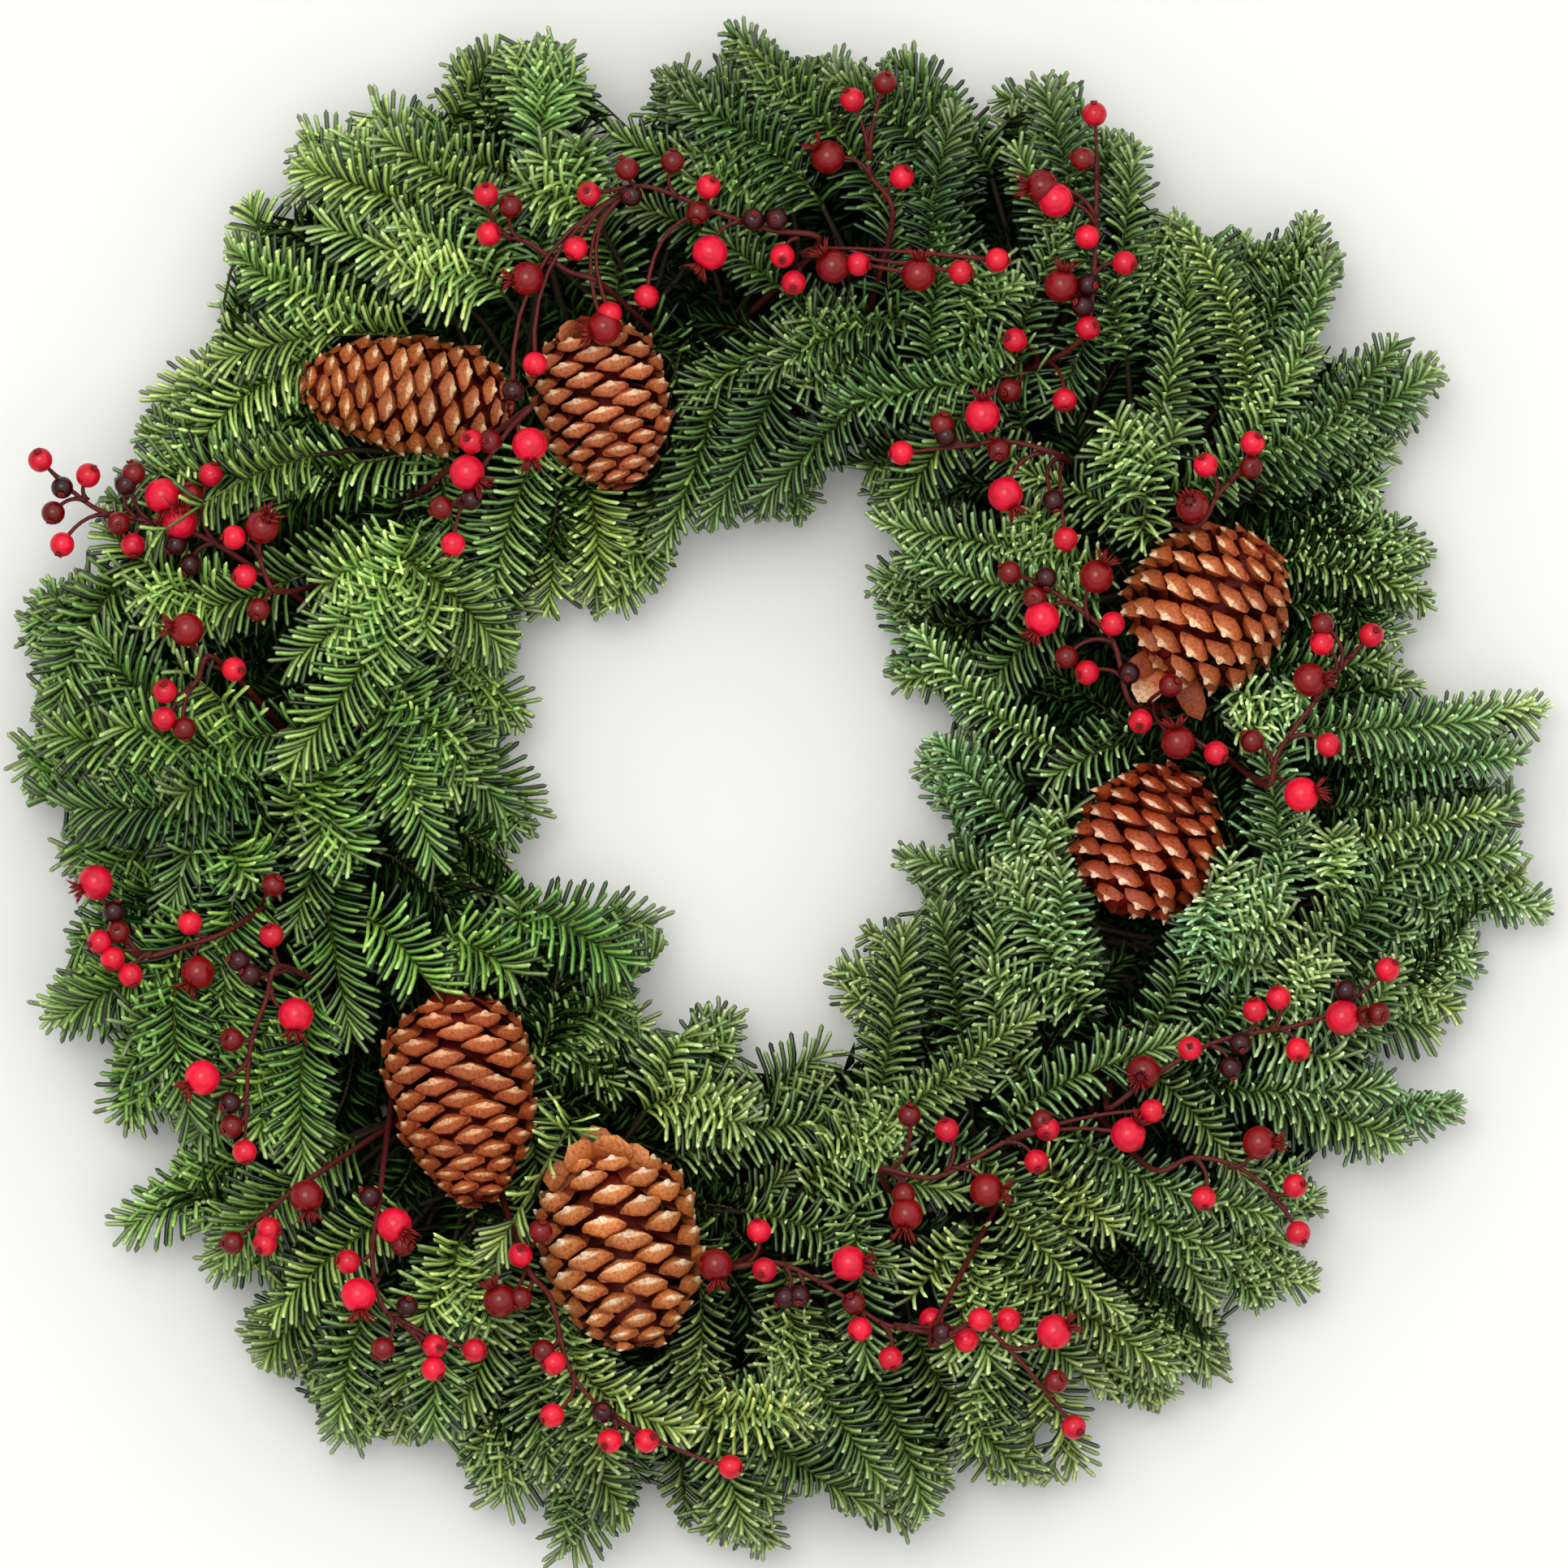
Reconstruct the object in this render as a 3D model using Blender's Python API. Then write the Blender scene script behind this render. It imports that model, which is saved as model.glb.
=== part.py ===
"""Winter berry wreath: fir bunches clamped to a wire frame, with pine cones and berry sprays.

The wreath lies on its back. The frame's flat underside is at z = 0 and the front faces +Z.
Places in the plane of the wreath were read off a photograph, in its pixels, and are scaled so
that the frame has its real radius. Heights are in metres. Every piece that is placed goes into
one record of rods and balls, and what comes later is bent clear of it.
"""

import math

import bmesh
import bpy
import numpy as np
from mathutils import Matrix, Vector

# Driving dimensions, in metres
RING_RADIUS = 0.203
RAIL_OFFSET = 0.009
RAIL_RADIUS = 0.0018
CLAMP_WIRE = 0.0013
CLAMP_REACH = 0.0105
BUNDLE_RADIUS = 0.005
BUNDLE_LENGTH = 0.047
TWIG_ROOT_RADIUS = 0.0020
TWIG_TIP_RADIUS = 0.0014
NEEDLE_LENGTH = 0.023
NEEDLE_BASE = 0.0027
NEEDLE_RADIUS = 0.0008
STATION_STEP = 0.019
BUD_LENGTH = 0.009
NEEDLES_PAST_TWIG = 0.017
BARE_TWIG = 0.02
BERRY_RADII = {"B": 0.0079, "D": 0.0076, "s": 0.0055, "d": 0.0053, "v": 0.0050}
BERRY_STEM_RADIUS = 0.0011
STALK_RADIUS = 0.0008
BERRY_SWELL = 1.06
SCALE_RISE = 0.0062
KNEE_HEIGHT = 0.02
STUB_RADIUS = 0.0045
STUB_LENGTH = 0.007
CONE_WIRE = 0.0007
SEAT_GAP = 0.0003
WELD_SINK = 0.0004

# The least clear distances between pieces, in metres
NEEDLE_ROOM = 0.0006
BERRY_ROOM = 0.0006
STEM_ROOM = 0.002
TWIG_ROOM = 0.0035
LEAST_TWIG_ROOM = 0.0008
CLAMP_SPACE = 0.006

# How fine the shapes are
BUNCHES = 22
RAIL_STEPS = 28
RAIL_SIDES = 6
CONE_SIDES = 8
CONE_ROWS = 10
MOST_STATIONS = {"outer": 5, "inner": 4, "front": 4}
SMALL_BERRY_EVERY = 5
CONE_RODS = 20
CONE_ROD_RADIUS = 0.005
BARE_STEP = 0.035
STEEP = 0.8
SEED = 41

# Heights above the surface that the wreath lies on
RAIL_Z = RAIL_RADIUS * math.sin(math.pi / 3)
CROSS_WIRE_Z = 2 * RAIL_Z + 0.5 * CLAMP_WIRE - WELD_SINK
BUNDLE_Z = CROSS_WIRE_Z + CLAMP_WIRE + SEAT_GAP + BUNDLE_RADIUS
BUNDLE_TOP = BUNDLE_Z + BUNDLE_RADIUS
LAYER_Z = {"outer": (0.027, 0.021), "inner": (0.025, 0.024), "front": (0.049, 0.063)}
CONE_SEAT_Z = 0.0215
CONE_TILT = 0.006
WIRE_KNEE_Z = 0.013
LOWEST_TWIG = 0.009
LOWEST_NEEDLE = 0.0012

# What is tried in turn until a piece has room: lifts in metres, and places on a bundle as shares of it
STEM_LIFTS = (0, 0.006, 0.012, 0.018, -0.006)
STEM_ROOT_SHIFTS = (0.010, -0.010, 0.017, -0.017)
BERRY_LIFTS = (0.004, -0.004, 0.010, 0.016, -0.010, 0.022, 0.028, 0.034)
TWIG_LIFTS = (0, 0.006, -0.006, 0.012, 0.018, 0.024, -0.010, 0.030)
TWIG_SLOTS = (-0.40, -0.28, -0.16, 0.16, 0.28, 0.40)
NEEDLE_TURNS = ((0, 0.12), (-0.25, 0.3), (0.25, -0.1), (-0.2, -0.25), (0, 0.6))
NEEDLE_SIZES = (1, 0.8)
NEEDLE_LEAN = math.radians(54)
TIP_NEEDLE_LEAN = math.radians(34)
NEEDLE_JITTER = 0.1

# The photograph's frame: the ring's centre and radius in its pixels
RING_CENTRE_PX = (930, 970)
RING_RADIUS_PX = 564
METRES_PER_PX = RING_RADIUS / RING_RADIUS_PX

# Fir sprays as (where the spray starts to show, its tip)
SPRAYS = {
    "outer": [
        ((962, 147), (904, 30)), ((855, 150), (829, 80)), ((1052, 130), (1007, 66)),
        ((1163, 160), (1101, 62)), ((1290, 214), (1283, 98)), ((1379, 224), (1410, 165)),
        ((1540, 384), (1518, 277)), ((1524, 469), (1618, 259)), ((1571, 527), (1781, 446)),
        ((1589, 590), (1736, 549)), ((1634, 668), (1768, 685)), ((1634, 740), (1765, 745)),
        ((1660, 912), (1908, 863)), ((1690, 993), (1873, 979)), ((1728, 1069), (1918, 1131)),
        ((1678, 1127), (1833, 1200)), ((1611, 1379), (1810, 1357)), ((1544, 1455), (1640, 1486)),
        ((1464, 1518), (1632, 1571)), ((1424, 1564), (1500, 1708)), ((1379, 1634), (1446, 1734)),
        ((1299, 1723), (1335, 1824)), ((1069, 1745), (1145, 1873)), ((888, 1806), (960, 1917)),
        ((747, 1790), (694, 1926)), ((661, 1745), (607, 1868)), ((460, 1656), (424, 1784)),
        ((402, 1589), (304, 1654)), ((277, 1446), (140, 1520)), ((335, 1522), (252, 1562)),
        ((190, 1312), (149, 1388)), ((167, 1212), (51, 1252)), ((167, 1042), (73, 1055)),
        ((129, 939), (16, 930)), ((127, 765), (24, 778)), ((357, 455), (180, 506)),
        ((353, 513), (176, 558)), ((357, 357), (270, 393)), ((363, 329), (292, 243)),
        ((447, 215), (364, 167)), ((530, 205), (446, 127)), ((620, 136), (551, 69)),
        ((670, 132), (692, 48)), ((1500, 340), (1475, 235)), ((1210, 1770), (1240, 1850)),
        ((150, 870), (42, 863)), ((1690, 1250), (1795, 1268)),
    ],
    "inner": [
        ((960, 560), (1005, 638)), ((800, 640), (742, 766)), ((545, 716), (612, 830)),
        ((560, 840), (652, 880)), ((560, 930), (662, 1018)), ((520, 1070), (600, 1098)),
        ((640, 1140), (818, 1145)), ((859, 1309), (906, 1243)), ((939, 1358), (1035, 1292)),
        ((1120, 1230), (1024, 1192)), ((1200, 1090), (1103, 1050)), ((1220, 960), (1120, 935)),
        ((1150, 700), (1062, 715)), ((1190, 820), (1088, 840)), ((1140, 560), (1064, 618)),
        ((700, 1260), (800, 1280)),
    ],
    "front": [
        ((598, 339), (478, 272)), ((491, 628), (350, 670)), ((504, 680), (388, 792)),
        ((250, 729), (156, 734)), ((473, 908), (580, 979)), ((397, 957), (388, 1073)),
        ((312, 912), (125, 979)), ((282, 1046), (325, 1095)), ((625, 1180), (540, 1200)),
        ((1410, 640), (1405, 500)), ((1330, 700), (1225, 640)), ((1570, 880), (1500, 880)),
        ((1486, 1176), (1560, 1060)), ((1652, 1091), (1647, 1015)), ((1299, 1091), (1294, 979)),
        ((1320, 1225), (1240, 1050)), ((823, 1352), (939, 1361)), ((703, 1384), (600, 1560)),
        ((1029, 1397), (1131, 1402)), ((886, 1745), (1011, 1732)), ((707, 1676), (863, 1768)),
        ((348, 1299), (321, 1420)), ((560, 1560), (598, 1655)), ((1060, 440), (950, 420)),
        ((960, 230), (820, 190)), ((1180, 420), (1270, 330)), ((1460, 360), (1390, 280)),
        ((1300, 1450), (1390, 1530)), ((1200, 1540), (1160, 1700)), ((1560, 1260), (1650, 1160)),
        ((720, 250), (650, 180)), ((1010, 1640), (930, 1690)), ((250, 1240), (190, 1330)),
    ],
}

# Pine cones as (base, tip, widest radius in pixels, where along the cone it is widest)
CONES = [
    ((612, 499), (372, 469), 72, 0.40),
    ((722, 412), (768, 600), 82, 0.42),
    ((1432, 806), (1562, 672), 96, 0.42),
    ((1380, 1104), (1462, 950), 84, 0.42),
    ((556, 1246), (590, 1484), 92, 0.28),
    ((742, 1436), (792, 1660), 98, 0.42),
]

# Berry sprays as (points of the stem, berries). A berry is a letter for its size and colour and its
# place: B is large and bright, D large and dark red, s small and bright, d small and dark red,
# v small and nearly black.
BERRY_SPRAYS = {
    "a": ([(740, 350), (700, 335), (650, 300), (603, 290)],
          "s600,241 d630,256 s603,290 D650,345"),
    "b": ([(1010, 300), (950, 285), (880, 262), (800, 232), (740, 238)],
          "s726,241 d773,210 v778,243 d829,201 s873,232 d860,264 B875,313 v928,272 v957,272"),
    "c": ([(1100, 265), (1072, 215), (1068, 160)],
          "s1050,124 d1090,103 D1020,195 s1111,219"),
    "d": ([(1330, 420), (1348, 330), (1350, 260), (1352, 190)],
          "s1348,142 d1333,197 B1300,248 s1339,293 D1307,353 v1340,352 s1385,325"),
    "e": ([(1300, 560), (1240, 545), (1170, 552)],
          "B1210,513 d1160,524 v1165,538 s1110,559 d1230,556 B1238,610 v1297,618 s1312,665"),
    "f": ([(1470, 650), (1500, 610), (1530, 580)],
          "s1542,547 d1540,577 s1484,574 D1468,625"),
    "g": ([(1395, 870), (1370, 790), (1320, 745), (1265, 712)],
          "d1243,706 v1288,713 d1274,737 B1283,763 s1370,769 d1313,810 s1338,829 D1350,711 v1390,830"),
    "h": ([(1560, 968), (1575, 925), (1630, 850), (1672, 798)],
          "d1628,770 s1627,793 D1612,838 s1688,783 d1541,913 s1635,918 B1602,979"),
    "i": ([(1365, 1365), (1420, 1325), (1500, 1282), (1600, 1262), (1670, 1235)],
          "s1708,1194 v1657,1220 B1653,1253 d1697,1249 s1574,1229 s1545,1244 s1598,1293"
          " v1527,1285 v1515,1315 s1465,1291 D1408,1320"),
    "j": ([(1085, 1440), (1150, 1450), (1230, 1410), (1280, 1385)],
          "B1389,1397 s1290,1390 s1276,1430 D1215,1465 s1166,1391 d1120,1373 d1113,1470"),
    "k": ([(1420, 1440), (1470, 1425), (1530, 1440), (1585, 1490)],
          "D1550,1407 s1594,1460 s1598,1518 s1482,1475"),
    "l": ([(900, 1560), (960, 1555), (1030, 1590), (1085, 1628), (1140, 1640)],
          "D882,1557 s935,1515 s942,1563 v967,1597 v985,1595 B1046,1555 d1052,1604 s1059,1636 s1097,1672"),
    "m": ([(650, 1560), (680, 1600), (700, 1680), (735, 1728), (785, 1765)],
          "d667,1515 s642,1545 D617,1601 d670,1663 s683,1677 s681,1742 v743,1738 s752,1773 s797,1773"),
    "n": ([(468, 1480), (460, 1550), (475, 1612), (520, 1645)],
          "v457,1473 B487,1508 s430,1553 B443,1594 v503,1608 d473,1660 s537,1657 s586,1662"),
    "o": ([(385, 1450), (345, 1480), (320, 1500)],
          "d288,1530 s328,1531 s333,1513 D379,1473"),
    "p": ([(345, 1190), (330, 1230), (310, 1290), (304, 1385)],
          "B366,1250 s336,1152 v296,1183 v310,1200 d287,1280 B251,1327 v285,1358 d287,1387 s303,1418"),
    "q": ([(285, 1145), (230, 1165), (175, 1178), (145, 1150)],
          "B119,1087 v141,1123 d147,1148 s124,1160 s140,1181 s162,1201 D245,1198 d338,1090"),
    "r": ([(262, 668), (200, 645), (130, 632), (90, 606), (64, 582)],
          "s50,567 v77,601 d66,632 s77,671 s109,586 d165,583 B200,611 d146,645 s164,672 B222,643 v235,696"),
    "s": ([(345, 730), (325, 700), (318, 670)],
          "D325,650 s290,663 s303,711 d320,752"),
    "t": ([(265, 810), (245, 838), (222, 862)],
          "D232,776 s205,852 s204,886 d229,898 s290,825"),
    "u": ([(650, 506), (628, 532), (602, 568), (564, 624)],
          "s583,546 B654,550 B577,584 d545,627 v582,617 s560,672"),
    "w": ([(1145, 1650), (1200, 1628), (1250, 1668), (1308, 1738)],
          "v1160,1640 s1207,1624 B1298,1639 d1300,1700 s1322,1756"),
}
BERRY_SPRAY_Z = {"r": 0.052, "c": 0.064, "d": 0.066, "q": 0.066, "i": 0.072}
BERRY_SPRAY_Z_USUAL = 0.078

GREENS = {
    "light": (0.10, 0.22, 0.05),
    "dark": (0.03, 0.09, 0.03),
    "blue": (0.06, 0.15, 0.09),
    "mid": (0.07, 0.17, 0.06),
}
CONE_BROWNS = {"cone_brown": (0.30, 0.12, 0.045), "cone_dark": (0.16, 0.045, 0.02)}
DARK_CONE = 3
RANDOM = np.random.default_rng(SEED)


def at(pixel, z):
    """The point over a pixel of the photograph, at height z."""
    return np.array([
        (pixel[0] - RING_CENTRE_PX[0]) * METRES_PER_PX,
        (RING_CENTRE_PX[1] - pixel[1]) * METRES_PER_PX,
        z,
    ])


def on_ring(angle, z, radius=RING_RADIUS):
    return np.array([radius * math.cos(angle), radius * math.sin(angle), z])


def unit(vector):
    return vector / np.linalg.norm(vector)


def bunch_angle(index):
    return (index + 0.5) * 2 * math.pi / BUNCHES


def bunch_at(point):
    """The index of the bunch whose part of the ring this point lies over."""
    turn = math.atan2(point[1], point[0]) % (2 * math.pi)
    return int(turn * BUNCHES / (2 * math.pi)) % BUNCHES


class Placed:
    """What is in place already: rods with round ends, each with the name of what it belongs to."""

    def __init__(self):
        self.starts = np.empty((0, 3))
        self.ends = np.empty((0, 3))
        self.radii = np.empty(0)
        self.owners = np.empty(0, dtype=object)

    def add(self, owner, points, radius):
        """Adds the rods along a line of points. One point alone is a ball."""
        points = np.atleast_2d(points)
        starts = points if len(points) == 1 else points[:-1]
        ends = points if len(points) == 1 else points[1:]
        self.starts = np.vstack([self.starts, starts])
        self.ends = np.vstack([self.ends, ends])
        self.radii = np.append(self.radii, np.broadcast_to(radius, len(starts)))
        self.owners = np.append(self.owners, [owner] * len(starts))

    def room(self, start, end, radius, besides=()):
        """The clear distance from one rod to the nearest one that isn't owned by a name in besides."""
        others = ~np.isin(self.owners, list(besides)) if besides else np.ones(len(self.radii), bool)
        if not others.any():
            return 1.0
        gaps = rod_distances(start, end, self.starts[others], self.ends[others])
        return float((gaps - self.radii[others]).min() - radius)

    def room_along(self, points, radius, besides=()):
        points = np.atleast_2d(points)
        pairs = zip(points[:-1], points[1:])
        return min(self.room(start, end, radius, besides) for start, end in pairs)


def rod_distances(start, end, starts, ends):
    """The shortest distances from the line start to end to many other lines."""
    own = end - start
    theirs = ends - starts
    apart = start - starts
    own_square = max(own @ own, 1e-12)
    their_square = np.maximum((theirs * theirs).sum(axis=1), 1e-12)
    both = theirs @ own
    own_apart = apart @ own
    their_apart = (theirs * apart).sum(axis=1)
    spread = own_square * their_square - both**2
    across = np.where(spread > 1e-16, both * their_apart - own_apart * their_square, 0.0)
    s = np.clip(across / np.maximum(spread, 1e-16), 0, 1)
    t = np.clip((both * s + their_apart) / their_square, 0, 1)
    s = np.clip((both * t - own_apart) / own_square, 0, 1)
    gap = apart + s[:, None] * own - t[:, None] * theirs
    return np.linalg.norm(gap, axis=1)


def curve_through(first, middle, last, steps=24):
    """A smooth line from the first point through the middle one to the last."""
    before = np.linalg.norm(middle - first)
    after = np.linalg.norm(last - middle)
    knot = before / (before + after)
    u = np.linspace(0, 1, steps)[:, None]
    return (
        first * (u - knot) * (u - 1) / knot
        + middle * u * (u - 1) / (knot * (knot - 1))
        + last * u * (u - knot) / (1 - knot)
    )


def along(path, distances):
    """The points at these distances along a path."""
    travelled = np.append(0, np.cumsum(np.linalg.norm(np.diff(path, axis=0), axis=1)))
    return np.array([np.interp(distances, travelled, path[:, axis]) for axis in range(3)]).T


def path_length(path):
    return float(np.linalg.norm(np.diff(path, axis=0), axis=1).sum())


def material(name, colour, roughness, metallic=0.0):
    made = bpy.data.materials.get(name) or bpy.data.materials.new(name)
    made.use_nodes = True
    shader = made.node_tree.nodes["Principled BSDF"]
    shader.inputs["Base Color"].default_value = (*colour, 1)
    shader.inputs["Roughness"].default_value = roughness
    shader.inputs["Metallic"].default_value = metallic
    made.diffuse_color = (*colour, 1)
    return made


def linked(name, mesh, collection):
    made = bpy.data.objects.new(name, mesh)
    collection.objects.link(made)
    return made


def section(sides):
    """A closed outline of unit radius for the tubes, with one flat side down."""
    outline = bpy.data.curves.new("section", "CURVE")
    spline = outline.splines.new("POLY")
    spline.points.add(sides - 1)
    for index, point in enumerate(spline.points):
        turn = 2 * math.pi * (index + 0.5) / sides - math.pi / 2
        point.co = (math.cos(turn), math.sin(turn), 0, 1)
    spline.use_cyclic_u = True
    return linked(f"section_{sides}", outline, HELPERS)


def tube(points, radii, sides, collection):
    """A tube along the points as a closed mesh, made from a curve. A flat side is down if it isn't steep."""
    route = bpy.data.curves.new("tube", "CURVE")
    route.dimensions = "3D"
    steps = np.diff(points, axis=0)
    steepest = np.max(np.abs(steps[:, 2]) / np.linalg.norm(steps, axis=1))
    route.twist_mode = "Z_UP" if steepest < STEEP else "MINIMUM"
    route.bevel_mode = "OBJECT"
    route.bevel_object = SECTIONS[sides]
    route.use_fill_caps = True
    spline = route.splines.new("POLY")
    spline.points.add(len(points) - 1)
    for target, point, radius in zip(spline.points, points, np.broadcast_to(radii, len(points))):
        target.co = (*point, 1)
        target.radius = radius
    drawn = linked("tube", route, HELPERS)
    bpy.context.view_layer.update()
    graph = bpy.context.evaluated_depsgraph_get()
    mesh = bpy.data.meshes.new_from_object(drawn.evaluated_get(graph))
    closed = bmesh.new()
    closed.from_mesh(mesh)
    bmesh.ops.remove_doubles(closed, verts=closed.verts, dist=1e-6)
    bmesh.ops.recalc_face_normals(closed, faces=closed.faces)
    closed.to_mesh(mesh)
    closed.free()
    bpy.data.objects.remove(drawn)
    return linked("tube", mesh, collection)


def joined(name, pieces, skin, solver="EXACT"):
    """One object from overlapping pieces, by a Boolean union of the collection that holds them."""
    base = min(pieces.objects, key=lambda piece: piece.name)
    pieces.objects.unlink(base)
    WREATH.objects.link(base)
    if pieces.objects:
        union = base.modifiers.new("union", "BOOLEAN")
        union.operation = "UNION"
        union.operand_type = "COLLECTION"
        union.collection = pieces
        union.solver = solver
        bpy.context.view_layer.update()
        graph = bpy.context.evaluated_depsgraph_get()
        mesh = bpy.data.meshes.new_from_object(base.evaluated_get(graph))
    else:
        mesh = base.data.copy()
    for piece in [base, *pieces.objects]:
        bpy.data.objects.remove(piece)
    bpy.data.collections.remove(pieces)
    mesh.materials.clear()
    mesh.materials.append(skin)
    return linked(name, mesh, WREATH)


def pieces_for(name):
    made = bpy.data.collections.new(f"{name}_pieces")
    bpy.context.scene.collection.children.link(made)
    return made


def clamp_route(angle):
    """A clamp's wire: up one side, across both rails and up the other, its ends bent over the bundle."""
    over = BUNDLE_RADIUS + SEAT_GAP + CLAMP_WIRE
    corners = [
        (-0.003, BUNDLE_Z + over),
        (-CLAMP_REACH, BUNDLE_Z + 0.001),
        (-CLAMP_REACH, CROSS_WIRE_Z),
    ]
    corners += [(-out, z) for out, z in reversed(corners)]
    return np.array([on_ring(angle, z, RING_RADIUS + out) for out, z in corners])


def rail_radius(turn, offset):
    """How far out a rail's middle line is, along its straight steps."""
    step = 2 * math.pi / RAIL_STEPS
    return (RING_RADIUS + offset) * math.cos(step / 2) / math.cos(turn % step - step / 2)


def wire_frame(placed):
    """Two round rails with flat undersides, and a clamp across them for each bunch."""
    pieces = pieces_for("frame")
    for offset in (-RAIL_OFFSET, RAIL_OFFSET):
        bpy.ops.mesh.primitive_torus_add(
            major_radius=RING_RADIUS + offset,
            minor_radius=RAIL_RADIUS,
            major_segments=RAIL_STEPS,
            minor_segments=RAIL_SIDES,
            location=(0, 0, 0),
        )
        rail = bpy.context.object
        rail.data.transform(Matrix.Translation((0, 0, RAIL_Z)))
        for owner in list(rail.users_collection):
            owner.objects.unlink(rail)
        pieces.objects.link(rail)
        turns = np.linspace(0, 2 * math.pi, 2 * RAIL_STEPS + 1)
        round_rail = [on_ring(turn, RAIL_Z, rail_radius(turn, offset)) for turn in turns]
        placed.add("wire_frame", np.array(round_rail), RAIL_RADIUS)
    for index in range(BUNCHES):
        route = clamp_route(bunch_angle(index))
        tube(route, CLAMP_WIRE, 3, pieces)
        placed.add("wire_frame", route, CLAMP_WIRE)
    joined("wire_frame", pieces, material("frame_wire", (0.05, 0.09, 0.05), 0.45, 0.6))


def bundle_line(index):
    """The middle line of a bunch's cut stems, lying along the ring."""
    half = BUNDLE_LENGTH / 2 / RING_RADIUS
    return np.array([on_ring(bunch_angle(index) + part * half, BUNDLE_Z) for part in (-1, 1)])


def bunch_name(index):
    return f"fir_bunch_{index + 1:02d}"


def cone_radius(t, widest, peak):
    """The cone's body radius at t from base 0 to tip 1: a blunt base, widest at peak, a rounded tip."""
    if t < peak:
        return widest * math.sqrt(max(1 - ((peak - t) / (peak + 0.05)) ** 2.6, 0))
    return widest * max(1 - ((t - peak) / (1.02 - peak)) ** 2.1, 0) ** 0.72


def cone_axis(cone):
    """Base point, unit axis, length and body radius of a cone, tipped a little toward the front."""
    base_px, tip_px, radius_px, _ = cone
    radius = radius_px * METRES_PER_PX - 0.7 * SCALE_RISE
    z = CONE_SEAT_Z + radius_px * METRES_PER_PX
    base = at(base_px, z - CONE_TILT / 3)
    tip = at(tip_px, z + CONE_TILT * 2 / 3)
    return base, unit(tip - base), float(np.linalg.norm(tip - base)), radius


def pine_cone(index, cone, placed):
    """A turned body whose rings step round by half a scale, with each facet raised to a scale's tip."""
    name = f"pine_cone_{index + 1}"
    base, axis, length, radius = cone_axis(cone)
    peak = cone[3]
    shape = bmesh.new()
    bmesh.ops.create_uvsphere(shape, u_segments=CONE_SIDES, v_segments=CONE_ROWS, radius=1)
    half_step = math.pi / CONE_SIDES
    for vertex in shape.verts:
        row = round(math.acos(max(-1, min(1, -vertex.co.z))) * CONE_ROWS / math.pi)
        t = row / CONE_ROWS
        turn = math.atan2(vertex.co.y, vertex.co.x) + row * half_step
        out = cone_radius(t, radius, peak) if 0 < row < CONE_ROWS else 0
        vertex.co = (out * math.cos(turn), out * math.sin(turn), t * length)
    facets = [face for face in shape.faces if len(face.verts) == 4]
    for facet in facets:
        centre = facet.calc_center_median()
        t = centre.z / length
        rise = SCALE_RISE * (0.75 + 0.25 * math.sin(math.pi * t))
        outward = Vector((centre.x, centre.y, 0)).normalized()
        lean = 0.15 + 0.75 * t
        raised = centre + rise * (outward * math.cos(lean) + Vector((0, 0, 1)) * math.sin(lean))
        peak_vertex = bmesh.ops.poke(shape, faces=[facet])["verts"][0]
        peak_vertex.co = raised
    mesh = bpy.data.meshes.new(name)
    shape.to_mesh(mesh)
    shape.free()
    turn_to_axis = Vector(axis).to_track_quat("Z", "Y").to_matrix().to_4x4()
    mesh.transform(Matrix.Translation(Vector(base)) @ turn_to_axis)
    pieces = pieces_for(name)
    linked("cone_body", mesh, pieces)
    stub = [base + axis * STUB_LENGTH / 2, base - axis * STUB_LENGTH]
    tube(stub, STUB_RADIUS, 6, pieces)
    skin = "cone_dark" if index == DARK_CONE else "cone_brown"
    joined(name, pieces, material(skin, CONE_BROWNS[skin], 0.6))
    side = unit(np.cross(axis, [0, 0, 1]))
    upward = np.cross(side, axis)
    for turn in np.linspace(0, 2 * math.pi, CONE_RODS, endpoint=False):
        out = math.cos(turn) * side + math.sin(turn) * upward
        rod = []
        for t in np.linspace(0.04, 0.97, CONE_ROWS):
            reach = max(cone_radius(t, radius, peak) + SCALE_RISE - CONE_ROD_RADIUS, 0.0005)
            rod.append(base + axis * (t * length) + out * reach)
        placed.add(name, np.array(rod), CONE_ROD_RADIUS)
    placed.add(name, np.array(stub), STUB_RADIUS)


def cone_wire(index, cone, placed):
    """A wire looped round the stub of a cone's stalk, with a leg down to the top of a rail."""
    base, axis, _, _ = cone_axis(cone)
    centre = base - axis * (STUB_LENGTH * 0.55)
    side = unit(np.cross(axis, [0, 0, 1]))
    upward = np.cross(side, axis)
    loop_step = 50
    wide = (STUB_RADIUS + SEAT_GAP + CONE_WIRE) / math.cos(math.radians(loop_step / 2))
    turns = [math.radians(-90 + loop_step * step) for step in range(7)]
    loop = [centre + wide * (math.cos(turn) * side + math.sin(turn) * upward) for turn in turns]
    angle = math.atan2(centre[1], centre[0])
    clamp = bunch_angle(bunch_at(centre))
    least = CLAMP_SPACE / RING_RADIUS
    if abs(angle - clamp) < least:
        angle = clamp + math.copysign(least, angle - clamp)
    out = RAIL_OFFSET if np.linalg.norm(centre[:2]) > RING_RADIUS else -RAIL_OFFSET
    foot = on_ring(angle, 2 * RAIL_Z + SEAT_GAP, rail_radius(angle, out))
    knee = foot + np.array([0, 0, WIRE_KNEE_Z])
    route = np.array([foot, knee, *loop])
    pieces = pieces_for("cone_wire")
    tube(route, CONE_WIRE, 3, pieces)
    name = f"cone_wire_{index + 1}"
    joined(name, pieces, material("florist_wire", (0.04, 0.10, 0.05), 0.4, 0.5))
    placed.add(name, route, CONE_WIRE)


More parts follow.
